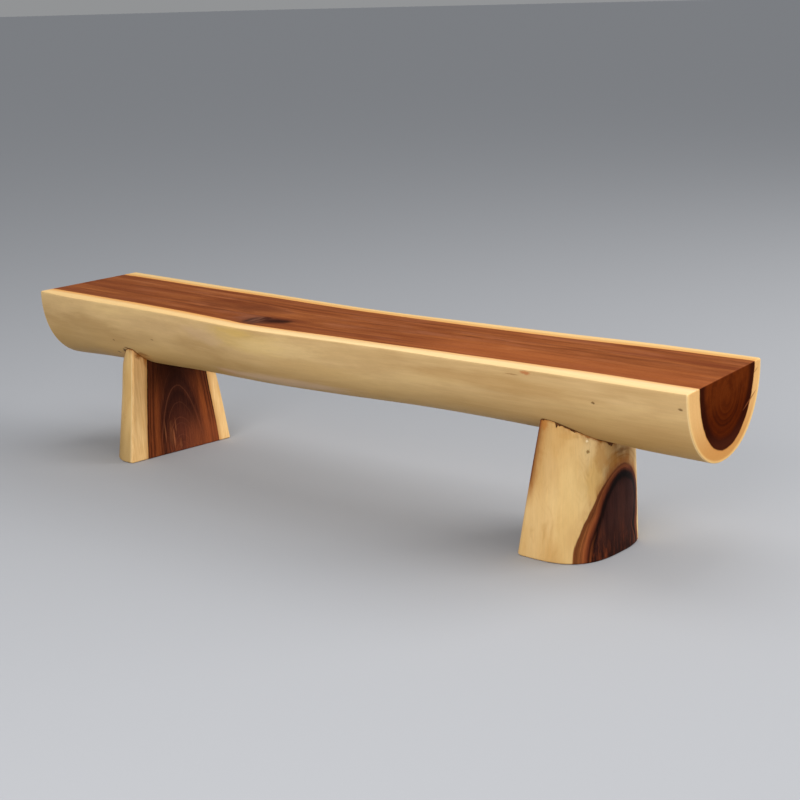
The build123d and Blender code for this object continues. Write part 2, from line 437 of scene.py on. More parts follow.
def seat_rings(share, offset_left, offset_right, inset):
    """Rings of the seat. share runs from 0 at the left end to 1 at the right end.

    Each offset keeps a ring's ends clear of the end cuts, and inset moves a ring inwards along
    its own normal, which is the tangent round the ring turned by a right angle. Towards both
    ends the half ellipse grows a little squarer: both of its weights are raised to 2 / power.
    """
    a, b, c, d = SECTION.T
    x = np.repeat(share * 2 * SEAT_HALF - SEAT_HALF, len(SECTION), axis=1)
    for _ in range(5):
        bow, half_width, depth = log_at(x)
        y = bow + half_width * a + ARRIS * b
        left, right_end = end_planes(y)
        x = left + offset_left + share * (right_end - offset_right - left - offset_left)
    fuller = 2 / (2 + 0.22 * ease(-x, 0.84, 1.0) + 0.16 * ease(x, 0.8, 1.0) * (a > 0))
    y = np.where(c < 0, bow + half_width * np.sign(a) * np.abs(a) ** fuller, y)
    z = -depth * np.abs(c) ** fuller + ARRIS * d
    along_y = np.roll(y, -1, axis=1) - np.roll(y, 1, axis=1)
    along_z = np.roll(z, -1, axis=1) - np.roll(z, 1, axis=1)
    length = np.hypot(along_y, along_z)
    out_y, out_z = -along_z / length, along_y / length
    round_part = ease(-z, 0.004, 0.05)
    clear_of_joint = ease(np.abs(np.abs(x) - JOINT_PLACE), 0.1, 0.24)
    angle = np.arctan2(-z, y - bow)
    hollow = np.clip(0.5 + 0.5 * ripple(11, x * 9.0, angle * 2.6), 0.0, 1.0)
    inset = inset + HOLLOW * hollow * round_part * clear_of_joint
    planed = np.clip(0.5 + 0.5 * ripple(12, x * 14.0, y * 26.0), 0.0, 1.0)
    inset = inset + PLANED * planed * (1 - round_part) * ease(-z, -0.001, 0.0)
    return np.stack([x, y - out_y * inset, SEAT_TOP + z - out_z * inset], -1)


# %% [markdown]
# The end cuts are eased by hand with sandpaper, a little more at the two corners that people
# brush past. A quarter turn of a small radius rounds each end: the ring moves inwards by
# radius * (1 - cos) while it moves out towards the cut by radius * sin. Then the ring shrinks
# to a point and so fills the cut.

# %% Seat ends and mesh
FACE_SHRINK = np.r_[0.992, 0.975, 0.95, np.linspace(0.92, 0.04, 24)][:, None, None]
around = np.arange(len(SECTION))
BACK_CORNER, FRONT_CORNER = 66, len(SECTION) - 3
END_EASING, POLE_DEPTH = 0.0024, 0.075
left_easing = END_EASING + 0.003 * np.exp(-(((around - FRONT_CORNER) / 6.0) ** 2))[None]
right_easing = END_EASING + 0.0036 * np.exp(-(((around - BACK_CORNER) / 6.0) ** 2))[None]
quarter = np.radians(np.linspace(0, 90, 7))[1:, None]
share = np.r_[0.0, 0.0006, np.linspace(0.0025, 0.9975, 396), 0.9994, 1.0][:, None]
body = seat_rings(share, left_easing, right_easing, 0.0)
outwards, inwards = 1 - np.sin(quarter), 1 - np.cos(quarter)
left_turn = seat_rings(0 * quarter, left_easing * outwards, right_easing, left_easing * inwards)
right_turn = seat_rings(
    0 * quarter + 1, left_easing, right_easing * outwards, right_easing * inwards
)


def end_face(ring, side):
    """Rings that shrink from an end's outline to one point of its plane, and that point."""
    bow = float(log_at(side * SEAT_HALF)[0])
    middle = np.array([end_planes(bow)[(side + 1) // 2], bow, SEAT_TOP - POLE_DEPTH], float)
    return middle + (ring - middle) * FACE_SHRINK, middle


left_face, left_pole = end_face(left_turn[-1], -1)
right_face, right_pole = end_face(right_turn[-1], 1)
seat_grid = np.concatenate([left_face[::-1], left_turn[::-1], body, right_turn, right_face])
seat = skin("bench_seat", seat_grid, left_pole, right_pole)
print("seat grid", seat_grid.shape, "faces", len(seat.data.polygons))

# %% [markdown]
# ## The legs
# A leg is half of a short log, stood upright: one flat saw cut that leans, and a round side.
# Where the two meet, the edge is eased. A rounded overlap of two shapes gives exactly that.
# With f1 the distance inside the saw cut, f2 the distance inside the round and r the radius,
# the surface is where r - hypot(max(r - f1, 0), max(r - f2, 0)) is zero. Along each ray from
# the middle of the block, halving an interval finds that place.

# %% Leg sizes
LEG_TALL = 0.345
LEGS = {
    # face and middle: x and y of the saw cut at the floor; lean and skew: its turns in degrees
    # pith: how far the pith lies behind the saw cut; edge: radius between the cut and the round
    # sole: how far the middle of the foot's fan lies off centre, clear of the bore's corners
    # levels: share of LEG_TALL, half depth, half width, squareness, drift outwards and backwards
    "left": dict(side=-1, face=0.627, lean=4.0, skew=-4.9, middle=-0.0055, pith=0.028, edge=0.003,
                 sole=(0.0037, 0.0009), levels=[
        (0.0, 0.118, 0.17, 2.0, 0.0, 0.0), (0.487, 0.12, 0.1425, 2.0, 0.0, 0.0),
        (0.722, 0.106, 0.1285, 2.0, 0.005, -0.004), (0.849, 0.074, 0.12, 2.0, 0.008, -0.0075),
        (1.0, 0.042, 0.112, 2.0, 0.012, -0.011)]),
    "right": dict(side=1, face=0.578, lean=10.0, skew=0.0, middle=0.0145, pith=0.046, edge=0.016,
                  sole=(0.003, 0.002), levels=[
        (0.0, 0.132, 0.1465, 2.8, 0.0, 0.0), (0.487, 0.12, 0.142, 2.5, 0.01, 0.0),
        (1.0, 0.106, 0.134, 2.1, 0.022, 0.0)]),
}
FACE_STEPS, SIDE_STEPS = 96, 150
print("points round a leg:", FACE_STEPS + SIDE_STEPS)


# %% Leg outlines
def leg_outline(leg, z, shrink=0.0):
    """Distance outwards and across of the leg's outline at each height; z is (rings, points).

    Points bunch up at the two upright edges: along the saw cut and round the back alike they
    are spaced by the sine of an even step.
    """
    half_depth, half_width, power, drift, backwards = through(leg["levels"], z / LEG_TALL)
    saw = z * math.tan(math.radians(leg["lean"]))
    pith = leg["pith"] + drift
    middle = (saw + pith + half_depth) / 2
    corner = half_width * (1 - np.abs((saw - pith) / half_depth) ** power) ** (1 / power)
    face = np.sin(np.linspace(-0.5, 0.5, FACE_STEPS, endpoint=False) * math.pi)
    back = np.sin(np.linspace(0.5, -0.5, SIDE_STEPS, endpoint=False) * math.pi)
    face_angle = np.arctan2(corner[:, :FACE_STEPS] * face, (saw - middle)[:, :FACE_STEPS])
    back_angle = np.arctan2(corner, saw - middle)[:, FACE_STEPS:] * back
    angle = np.concatenate([face_angle, back_angle], axis=1)
    radius = leg["edge"]
    low, high = np.zeros_like(z), np.full_like(z, 0.4)
    for _ in range(34):
        reach = (low + high) / 2
        out, across = middle + reach * np.cos(angle), reach * np.sin(angle)
        u, v = np.abs((out - pith) / half_depth) + 1e-9, np.abs(across / half_width) + 1e-9
        size = (u**power + v**power) ** (1 / power)
        slope_out, slope_across = (u / size) ** (power - 1), (v / size) ** (power - 1)
        slope = np.hypot(slope_out / half_depth, slope_across / half_width)
        short_of_saw = np.maximum(radius - (out - saw - shrink), 0)
        short_of_round = np.maximum(radius - ((1 - size) / slope - shrink), 0)
        solid = radius - np.hypot(short_of_saw, short_of_round) > 0
        low, high = np.where(solid, reach, low), np.where(solid, high, reach)
    return middle + low * np.cos(angle), low * np.sin(angle) + backwards


def stand(leg, out, across, z):
    """Turns distances outwards and across into places in the room: out along X, then the skew."""
    x, turn = leg["side"] * out, math.radians(leg["skew"])
    return np.stack([
        leg["side"] * leg["face"] + x * math.cos(turn) - across * math.sin(turn),
        leg["middle"] + x * math.sin(turn) + across * math.cos(turn),
        z + 0 * x,
    ], -1)


# %% [markdown]
# A leg's top is scribed to the log and bedded in dark glue and sawdust. At the visible edge
# the wood broke out in places as it was cut, and the glue fills those chips. So the leg stops
# a hair below the log, and lower at each chip.

# %% Where a leg meets the log
BED = 0.001
CHIPS = {  # x, y, reach along the edge, depth
    "left": [(-0.668, -0.118, 0.01, 0.004), (-0.7, -0.1, 0.016, 0.004),
             (-0.735, 0.03, 0.02, 0.003), (-0.7, 0.11, 0.02, 0.005)],
    "right": [(0.648, -0.121, 0.007, 0.004), (0.679, -0.116, 0.006, 0.01),
              (0.697, -0.108, 0.01, 0.005), (0.712, -0.098, 0.009, 0.006),
              (0.745, -0.047, 0.006, 0.004), (0.7505, -0.022, 0.01, 0.007),
              (0.753, 0.012, 0.009, 0.005), (0.72, 0.13, 0.02, 0.006), (0.66, 0.146, 0.02, 0.005)],
}


def chip_depth(name, place):
    """Depth of the broken edge at each outline point: bells round each chip, made ragged."""
    depth = 0.0
    for x, y, reach, deep in CHIPS[name]:
        away = np.hypot(place[..., 0] - x, place[..., 1] - y) / reach
        depth = depth + deep * np.exp(-(away**2))
    fine = ripple(22, place[..., 0] * 1100, place[..., 1] * 1100)
    ragged = ripple(21, place[..., 0] * 260, place[..., 1] * 260) + 0.8 * fine
    return depth * np.clip(0.7 + 0.6 * ragged, 0.0, 1.6) + 0.0005 * np.clip(ragged, 0, 1)


def meet(leg, name):
    """Height at which each upright line of a leg stops, and its depth of chip.

    The height and the outline depend on each other, so they take turns until they settle.
    """
    height = np.full((1, FACE_STEPS + SIDE_STEPS), 0.28)
    for _ in range(14):
        place = stand(leg, *leg_outline(leg, height), height)
        chip = chip_depth(name, place)
        height = log_above(place) - BED - chip
    return height, chip


# %% Leg meshes
FOOT_EASING = 0.004
LEG_RINGS = 92
TOP_SHRINK = np.r_[0.996, 0.985, 0.965, 0.93, np.linspace(0.88, 0.06, 18)][:, None]
foot_quarter = np.radians(np.linspace(90, 0, 6))[:, None]


def make_leg(name):
    """One leg: pole and flat of the foot, eased edge, wall, then the scribed top and its pole."""
    leg = LEGS[name]
    height, chip = meet(leg, name)
    low = FOOT_EASING * (1 - np.sin(foot_quarter)) + 0 * height
    foot = stand(leg, *leg_outline(leg, low, FOOT_EASING * (1 - np.cos(foot_quarter))), low)
    climb = np.r_[0.004, 0.012, np.linspace(0.024, 0.985, LEG_RINGS), 0.997][:, None]
    z = FOOT_EASING + (height - FOOT_EASING) * climb
    wall = stand(leg, *leg_outline(leg, z), z)
    rim = stand(leg, *leg_outline(leg, height, 0.0004), height)
    heart = rim.mean(axis=(0, 1))
    top = heart + (rim - heart) * TOP_SHRINK[..., None]
    fall = ease(TOP_SHRINK, 0.86, 1.0)
    top[..., 2] = log_above(top) - BED - chip * fall
    heart[2] = log_above(heart) - BED
    sole = foot[0].mean(axis=0) + [*leg["sole"], 0.0]
    bottom = sole + (foot[:1] - sole) * TOP_SHRINK[::-1][..., None]
    grid = np.concatenate([bottom, foot, wall, rim, top])
    piece = skin(f"bench_leg_{name}", grid, sole, heart)
    print(piece.name, grid.shape, "top", round(float(height.max()), 4))
    return piece, rim, chip


leg_left, rim_left, chip_left = make_leg("left")
leg_right, rim_right, chip_right = make_leg("right")

# %% [markdown]
# The glue bed is a thin shell between log and leg, with a bead that follows the chipped edge
# and stands out of it here and there.

# %% Glue beds
BEAD = [  # share of the way up, how far the bead stands out
    (0.0, -0.001), (0.15, 0.0003), (0.5, 0.0009), (0.85, 0.0005), (1.0, -0.0008),
]


def make_bed(name, rim, chip):
    """A closed shell: its foot lies on the leg, its top under the log, its rim is a soft bead."""
    clear = 0.00012
    out = ripple(31, rim[..., 0] * 260, rim[..., 1] * 260)
    heart = rim.mean(axis=(0, 1))
    away = rim - heart
    away = away / np.linalg.norm(away[..., :2], axis=-1, keepdims=True)
    rows = []
    for level, swell in BEAD:
        ring = rim + away * (swell + 0.0005 * out)[..., None] * [1, 1, 0]
        top_z = log_above(ring) - clear
        low_z = top_z - BED - chip + 2 * clear
        ring[..., 2] = low_z + (top_z - low_z) * level
        rows.append(ring)
    upper = heart + (rows[-1] - heart) * TOP_SHRINK[..., None]
    upper[..., 2] = log_above(upper) - clear
    lower = heart + (rows[0] - heart) * TOP_SHRINK[::-1][..., None]
    fall = ease(TOP_SHRINK[::-1], 0.86, 1.0)
    lower[..., 2] = log_above(lower) - BED - chip * fall + clear
    over_heart = np.array([heart[0], heart[1], log_above(heart) - clear])
    under_heart = over_heart - [0.0, 0.0, BED - 2 * clear]
    grid = np.concatenate([lower, *rows, upper])
    piece = skin(f"bench_glue_{name}", grid, under_heart, over_heart)
    print(piece.name, grid.shape)
    return piece


glue_left = make_bed("left", rim_left, chip_left)
glue_right = make_bed("right", rim_right, chip_right)

# %% [markdown]
# ## Bored holes
# Each leg is held by one long screw, driven up from a bore in the foot, and by two dowels. The
# holes are cut with turned cutters: a radius at each height, spun about the bore's line. A
# boolean keeps the round wood as it is and opens only the bore.

# %% Cutters and cuts
SHANK_BORE, DOWEL_CLEAR, CUTTER_STEPS = 0.0063, 0.00018, 48


def turned(centre, profile):
    """A closed turned cutter: rings of radius r at heights z round a vertical line."""
    angle = np.linspace(0, 2 * math.pi, CUTTER_STEPS, endpoint=False)
    radius, z = np.array(profile, float).T
    grid = np.stack([
        centre[0] + radius[:, None] * np.cos(angle),
        centre[1] + radius[:, None] * np.sin(angle),
        z[:, None] + 0 * angle[None],
    ], -1)
    return skin("cutter", grid, (*centre, z[0]), (*centre, z[-1]))


def bores(name):
    """The stepped bore for the screw and the two blind holes for the dowels of one leg."""
    low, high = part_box(f"lag_bolt_{name}")
    washer_low, washer_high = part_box(f"washer_{name}")
    x, y = (low.x + high.x) / 2, (low.y + high.y) / 2
    wide, shoulder = (washer_high.x - washer_low.x) / 2 + 0.002, washer_high.z
    cutters = [turned((x, y), [
        (wide, -0.01), (wide, shoulder), (SHANK_BORE, shoulder), (SHANK_BORE, high.z + 0.003),
    ])]
    for end in ("front", "back"):
        low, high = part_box(f"dowel_{name}_{end}")
        radius = (high.x - low.x) / 2 + DOWEL_CLEAR
        centre = ((low.x + high.x) / 2, (low.y + high.y) / 2)
        hole = [(radius, low.z - 0.002), (radius, high.z + 0.002)]
        cutters.append(turned(centre, hole))
    return cutters


def cut(piece, cutters):
    """Takes the cutters out of a piece, one after another, and keeps the result as its mesh."""
    for cutter in cutters:
        tool = piece.modifiers.new("bore", "BOOLEAN")
        tool.operation, tool.solver, tool.object = "DIFFERENCE", "EXACT", cutter
    graph = bpy.context.evaluated_depsgraph_get()
    made = bpy.data.meshes.new_from_object(piece.evaluated_get(graph))
    piece.modifiers.clear()
    old, piece.data = piece.data, made
    bpy.data.meshes.remove(old)
    piece.data.name = piece.name


left_bores, right_bores = bores("left"), bores("right")
for piece, cutters in (
    (seat, left_bores + right_bores), (leg_left, left_bores), (leg_right, right_bores),
    (glue_left, left_bores), (glue_right, right_bores),
):
    cut(piece, cutters)
    print(piece.name, "faces after boring", len(piece.data.polygons))
for cutter in left_bores + right_bores:
    bpy.data.objects.remove(cutter)

# %% [markdown]
# ## Where the heartwood lies
# Heartwood and sapwood are one piece of wood, so the border between them isn't a seam between
# two pieces. It is a shape inside the log, and every cut shows a section of it. So each point of
# a mesh stores how deep it lies inside the heart, and how far it is from the pith counted along
# the growth rings. The materials read these numbers and colour the wood from them, and the top,
# the ends and the bores then agree with each other by themselves.

# %% Outlines of the seat's heart
HEART_FRONT = [  # x, y of the heart's border on the top
    (-0.973, -0.1135), (-0.787, -0.1185), (-0.597, -0.1255), (-0.406, -0.1375), (-0.274, -0.1495),
    (-0.207, -0.1575), (-0.148, -0.1555), (-0.036, -0.1515), (0.079, -0.1445), (0.251, -0.1375),
    (0.362, -0.1295), (0.479, -0.1235), (0.592, -0.1165), (0.767, -0.1085), (0.947, -0.1075),
]
HEART_BACK = [
    (-0.956, 0.1445), (-0.83, 0.1395), (-0.702, 0.1325), (-0.58, 0.1295), (-0.459, 0.1275),
    (-0.337, 0.1235), (-0.212, 0.1185), (-0.088, 0.1145), (0.028, 0.1165), (0.142, 0.1195),
    (0.318, 0.1245), (0.431, 0.1305), (0.546, 0.1385), (0.658, 0.1485), (0.771, 0.1585),
    (0.889, 0.1635), (0.948, 0.1665),
]
RIND = 0.024  # sapwood left under the round
KNOT, KNOT_REACH = (-0.162, -0.104), (0.1, 0.03)
SEAT_RING_SPAN = 0.178  # ring number at the bark
print("stations:", len(HEART_FRONT), "and", len(HEART_BACK))


# %% Seat fields
def depth_in(across, down, half_across, half_down):
    """How far a point lies inside an ellipse, measured along its ray: r / q - r.

    r is its distance from the middle, and q its distance in half widths and half heights.
    """
    r = np.hypot(across, down) + 1e-6
    return r / np.hypot(across / half_across, down / half_down) - r


def ring_of(u, v, pith_u, pith_v):
    """Share of the way from the pith (0) to the bark (1), in a log scaled to a unit circle.

    The rings are circles whose middles slide from the pith to the log's axis as they grow, so
    they are crowded on the side that the pith is nearer to. Solving
    |point - pith * (1 - share)| = share for the share gives the fraction below.
    """
    du, dv = u - pith_u, v - pith_v
    a, b, c = du**2 + dv**2, du * pith_u + dv * pith_v, pith_u**2 + pith_v**2 - 1
    return a / (np.sqrt(np.maximum(b**2 - a * c, 0)) - b + 1e-9)


def seat_fields(piece):
    """Stores heart depth, ring distance, bark side, end grain and end rim at the seat's points."""
    x, y, z = points_of(piece).T
    bow, half_width, depth = log_at(x)
    front, back = through(HEART_FRONT, x)[0], through(HEART_BACK, x)[0]
    heart = depth_in(y - (front + back) / 2, SEAT_TOP - z, (back - front) / 2, depth - RIND)
    along, across = (x - KNOT[0]) / KNOT_REACH[0], (y - KNOT[1]) / KNOT_REACH[1]
    near_knot = np.exp(-(along**2) - across**2)
    parted = KNOT[1] + (y - KNOT[1]) * (1 - 0.85 * near_knot)
    pith_u = (0.009 + 0.01 * ripple(41, x * 3.0)) / half_width
    pith_v = -(0.055 + 0.006 * ripple(42, x * 2.5)) / depth
    ring = ring_of((parted - bow) / half_width, (z - SEAT_TOP) / depth, pith_u, pith_v)
    left, right_end = end_planes(y)
    from_end = np.minimum(x - left, right_end - x)
    write_fields(
        piece,
        heart=heart,
        ring=ring * SEAT_RING_SPAN,
        bark_side=ease(SEAT_TOP - z, 0.0001, 0.0018) * ease(from_end, 0.0012, 0.004),
        end_grain=1 - ease(from_end, 0.0003, 0.0016),
        rim=ease(np.hypot((y - bow) / half_width, (SEAT_TOP - z) / depth), 0.95, 0.985),
    )


seat_fields(seat)

# %% [markdown]
# On the left leg the heart is an ellipse round the pith, and the saw cut leans through its
# rings, so they show as tall nested arches: ring^2 = aside^2 + (1 - aside^2) * crossed, where
# aside is the share of the way to the heart's border and crossed grows with the height. The
# rings then run along the border at the sides. How fast this number grows per metre is stored
# too, so a line along a ring can be equally thin at the arch's top and at its sides.
# On the right leg the round side was shaped deeper than the sapwood is thick, and a dark patch
# of heart is laid bare, open towards the floor. Its outline is a table of reaches at angles
# round one point.

# %% Outlines of the legs' heart
LEG_RING_SPAN = 0.13  # ring number at the heart's border
LEG_RIND = 0.04  # sapwood left under the round
LEFT_NEAR = [  # height, place across of the heart's near border; then of its far border
    (0.004, -0.1134), (0.079, -0.1069), (0.159, -0.0983), (0.262, -0.0858), (0.3, -0.082),
]
LEFT_FAR = [
    (0.002, 0.1265), (0.031, 0.1243), (0.089, 0.1179), (0.146, 0.1106), (0.203, 0.1042),
    (0.262, 0.098), (0.3, 0.094),
]
PATCH_MIDDLE, PATCH_FOOT = (0.02, 0.06), 0.22  # y and z; reach straight down
PATCH = np.array([  # outline, y and z
    (-0.11, 0.004), (-0.103, 0.055), (-0.093, 0.085), (-0.079, 0.112), (-0.067, 0.136),
    (-0.052, 0.158), (-0.0385, 0.172), (-0.027, 0.182), (-0.0125, 0.1915), (0.0055, 0.198),
    (0.025, 0.2005), (0.046, 0.194), (0.0655, 0.178), (0.085, 0.156), (0.0975, 0.128),
    (0.0985, 0.095), (0.097, 0.026),
])


def unstand(leg, points):
    """Undoes stand: how far outwards, across and up each point of a leg lies."""
    x, y, z = points.T
    x, y, turn = x - leg["side"] * leg["face"], y - leg["middle"], math.radians(leg["skew"])
    out = leg["side"] * (x * math.cos(turn) + y * math.sin(turn))
    return out, y * math.cos(turn) - x * math.sin(turn), z


def patch_depth(y, z):
    """How far a point lies inside the bare patch, along its ray from the patch's middle."""
    away_y, away_z = y - PATCH_MIDDLE[0], z - PATCH_MIDDLE[1]
    rim_y, rim_z = (PATCH - PATCH_MIDDLE).T
    table = np.stack([np.arctan2(rim_y, rim_z), np.hypot(rim_y, rim_z)], -1)
    table = np.concatenate([[(-math.pi, PATCH_FOOT)], table, [(math.pi, PATCH_FOOT)]])
    return through(table, np.arctan2(away_y, away_z))[0] - np.hypot(away_y, away_z)


print("corners of the patch:", len(PATCH))


# %% Leg fields
def left_heart(out, across, z, from_saw, pith, half_depth):
    """Heart depth and ring number of the left leg, and how fast the ring number grows."""
    near, far = through(LEFT_NEAR, z)[0], through(LEFT_FAR, z)[0]
    middle, half = (near + far) / 2, (far - near) / 2
    deep = np.maximum(half_depth - LEG_RIND, 0.02)
    tilt = np.clip((out - from_saw - pith) / deep, -0.9, 0.9)
    heart = depth_in(across - middle, out - pith, half / np.sqrt(1 - tilt**2), deep)
    aside = np.clip((across - middle + 0.004) / half, -1.2, 1.2)
    crossed = np.clip(0.205 + 1.7 * z - 4.0 * from_saw, 0.02, 0.95)
    ring = np.sqrt(aside**2 + np.maximum(1 - aside**2, 0) * crossed)
    slope = np.hypot(aside * (1 - crossed) / half, 0.85 * (1 - aside**2)) / ring
    slope = np.maximum(LEG_RING_SPAN * slope, 0.02)
    return dict(heart=heart, ring=LEG_RING_SPAN * ring, slope=slope)


def right_heart(out, across, z, from_saw, pith, half_depth, half_width, y):
    """Heart depth and ring number of the right leg: its core, the saw cut and the bare patch."""
    core = depth_in(across, out - pith, half_width - 0.03, half_depth - LEG_RIND)
    edge = 0.095 + 0.25 * z  # half the heart's width on the saw cut
    near_cut = 0.003 + 0.0065 * ease(z, 0.1, 0.17) - from_saw
    on_cut = np.minimum(np.minimum(across + edge, edge - across), near_cut)
    patch = patch_depth(y, z)
    heart = np.maximum(np.maximum(core, on_cut), np.where(out > pith + 0.01, patch, -0.05))
    round_side = ease(from_saw, 0.01, 0.06)
    on_round = round_side * (LEG_RING_SPAN - patch)
    return dict(heart=heart, ring=(1 - round_side) * np.hypot(across, 0.03 + 0.2 * z) + on_round)


def leg_fields(piece, name):
    """Stores a leg's numbers, and with them how far each point is below the seat (the seam)."""
    leg, points = LEGS[name], points_of(piece)
    out, across, z = unstand(leg, points)
    half_depth, half_width, _, drift, _ = through(leg["levels"], z / LEG_TALL)
    from_saw = out - z * math.tan(math.radians(leg["lean"]))
    known = (out, across, z, from_saw, leg["pith"] + drift, half_depth)
    if name == "left":
        heart = left_heart(*known)
    else:
        heart = right_heart(*known, half_width, points[:, 1])
    write_fields(
        piece,
        bark_side=ease(from_saw, 0.003, 0.01),
        end_grain=1 - ease(z, 0.0004, 0.002),
        seam=log_above(points) - z,
        **heart,
    )


leg_fields(leg_left, "left")
leg_fields(leg_right, "right")

# %% [markdown]
# ## Shader groups
# Effects that several materials share are groups with named sockets. A group is only ever given
# places and numbers, and gives back masks and numbers.

# %% Making and using a group
def new_group(name, **inputs):
    """An empty shader group, and a wire that calls its inputs by name. Values are defaults."""
    tree = bpy.data.node_groups.new(name, "ShaderNodeTree")
    for label, value in inputs.items():
        kind = "NodeSocketVector" if isinstance(value, tuple) else "NodeSocketFloat"
        tree.interface.new_socket(label, in_out="INPUT", socket_type=kind).default_value = value
    return tree, Wire(tree.nodes.new("NodeGroupInput").outputs[0])


def give(tree, **outputs):
    """The results of a group, each under its name."""
    for label in outputs:
        tree.interface.new_socket(label, in_out="OUTPUT", socket_type="NodeSocketFloat")
    result = tree.nodes.new("NodeGroupOutput").inputs
    for label, wire in outputs.items():
        connect(result[label], wire)


def use(group, **inputs):
    """A group at work in a material, with its named inputs."""
    return add("Group", inputs, node_tree=group)


# %% [markdown]
# Growth rings are a function of one number, the distance from the pith. So the bands come from
# noise read along that number, which wobbles a little as real rings do. Streaks, fibres and
# pores are noise that is squeezed across the grain. The group takes a position whose first axis
# is the grain, so a leg can turn its own.

# %% Wood figure
ORIGIN = (0.0, 0.0, 0.0)
wood_figure, given = new_group("wood figure", Vector=ORIGIN, Ring=0.0, Width=0.006, Wobble=0.005)
grain = given["Vector"]
wander = cloud(grain, 1.8, 16.0, 3.0, 0.6, 0.0, 1.0)
ring = given["Ring"] + (wander - 0.5) * (given["Wobble"] * 3.0)
unrolled = add("CombineXYZ", {0: ring / given["Width"], 1: split(grain)[0]})
give(
    wood_figure,
    Ring=ring,
    Bands=cloud(unrolled, 0.5, 1.3, 4.0, 0.62),
    Lines=cloud(unrolled, 1.7, 2.1, 2.0, 0.5, 0.56, 0.68),
    Streaks=cloud(grain, 3.4, 230.0),
    Fibre=cloud(grain, 15.0, 1000.0, 2.0),
    Pores=cloud(grain, 70.0, 1500.0, 0.0, 0.5, 0.64, 0.74),
)

# %% [markdown]
# The sapwood's border wanders by a few millimetres in long waves, and frays finely. Both noises
# move the stored depth before it is compared with zero.

# %% Sapwood edge
FRAY = 0.0022
sapwood_edge, given = new_group(
    "sapwood edge", Vector=ORIGIN, Heart=0.0, Waves=0.004, Softness=0.0016
)
long_waves = cloud(given["Vector"], 5.0, 40.0, 2.0, 0.5, 0.0, 1.0) - 0.5
frays = cloud(given["Vector"], 22.0, 420.0, 2.0, 0.6, 0.0, 1.0) - 0.5
depth = given["Heart"] + (long_waves * given["Waves"] + frays * FRAY)
give(sapwood_edge, Inside=fade(depth, given["Softness"] * -1.0, given["Softness"]), Depth=depth)

# %% [markdown]
# Under the bark the log is greyer than where it was sawn, with long soft clouds, small blotches,
# pale streaks and a few pin specks. They fade into each other, so the group gives four masks.

# %% Bark-side mottle
bark_mottle, given = new_group("bark side mottle", Vector=ORIGIN)
give(
    bark_mottle,
    Clouds=cloud(given["Vector"], 2.6, 9.0, 3.0, 0.55, 0.34, 0.66),
    Blotches=cloud(given["Vector"], 9.0, 34.0, 4.0, 0.6, 0.5, 0.78),
    Streaks=cloud(given["Vector"], 4.5, 80.0, 3.0, 0.6, 0.5, 0.8),
    Specks=cloud(given["Vector"], 60.0, 110.0, 1.0, 0.5, 0.79, 0.84),
)

# %% [markdown]
# A knot, a pin mark or a stain is a soft ellipsoid at one place, turned about the upright, with
# a ragged rim. A table of marks is laid over a colour row by row.

# %% Marks
wood_mark, given = new_group(
    "wood mark", Vector=ORIGIN, Centre=ORIGIN, Reach=(0.01,) * 3, Ragged=0.5, Turn=0.0
)
away = vector_calc("SUBTRACT", given["Vector"], given["Centre"])
away = add("VectorRotate", {"Vector": away, "Angle": given["Turn"] * -1.0}, rotation_type="Z_AXIS")
away = vector_calc("DIVIDE", away, given["Reach"])
far = vector_calc("LENGTH", away, out="Value")
rim = cloud(away, 1.6, 1.6, 4.0, 0.6, 0.0, 1.0) - 0.5
give(wood_mark, Mask=fade(far + rim * (given["Ragged"] * 3.0), 1.0, 0.35))


def lay_marks(colour, place, rows):
    """Lays marks over a colour, one after another.

    A row holds the centre x, y, z, the reach x, y, z, the tone's three numbers and the strength.
    Two more numbers can say how ragged the rim is and how far the mark is turned.
    """
    for row in rows:
        centre, reach, rgb, strength = row[:3], row[3:6], row[6:9], row[9]
        ragged, turned = row[10:] or (0.5, 0.0)
        mask = use(wood_mark, Vector=place, Centre=centre, Reach=reach, Ragged=ragged, Turn=turned)
        colour = lay(colour, (mask * strength, *rgb))
    return colour


# %% [markdown]
# A drying check is the set of points close to a line between two places. A ring line is the set
# of points whose ring number is close to one value.

# %% Checks and ring lines
drying_check, given = new_group(
    "drying check", Vector=ORIGIN, Start=ORIGIN, Run=(0.1, 0.0, 0.0), Width=0.001
)
away, run = vector_calc("SUBTRACT", given["Vector"], given["Start"]), given["Run"]
whole = vector_calc("DOT_PRODUCT", run, run, out="Value")
share = steps(vector_calc("DOT_PRODUCT", away, run, out="Value") / whole, 0.0, 1.0)
foot = add("VectorMath", {0: run, "Scale": share}, operation="SCALE")
off = vector_calc("DISTANCE", away, foot, out="Value")
taper = calc("SINE", share * 3.0) * given["Width"]
give(drying_check, Mask=steps(off / (taper + 0.0001), 1.4, 0.5))

ring_line, given = new_group("ring line", Ring=0.0, Slope=1.0, Value=0.5, Thickness=0.001)
off = calc("ABSOLUTE", given["Ring"] - given["Value"]) / (given["Slope"] * given["Thickness"])
give(ring_line, Mask=fade(off, 1.0, 0.2))
print("groups:", [g.name for g in bpy.data.node_groups])

# %% [markdown]
# ## Lacquer
# Every surface has the same clear satin lacquer. It is smoother where it filled the pores and
# duller in soft clouds, and the fibres raise it very slightly.

# %% Lacquer
satin_lacquer, given = new_group("satin lacquer", Vector=ORIGIN, Fibre=0.5, Pores=0.0)
hand = cloud(given["Vector"], 9.0, 22.0)
peel = cloud(given["Vector"], 260.0, 260.0, 1.0)
give(
    satin_lacquer,
    Roughness=steps(hand, 0.0, 1.0, 0.36, 0.47) + given["Pores"] * 0.12,
    Height=given["Fibre"] * 0.5 + peel * 0.35 - given["Pores"],
)


def new_wood(name, turn=(0.0, 0.0, 0.0)):
    """A material, its place, and a place whose first axis runs along the grain."""
    material, place = new_finish(name)
    return material, place, add("Mapping", {"Vector": place, "Rotation": turn})


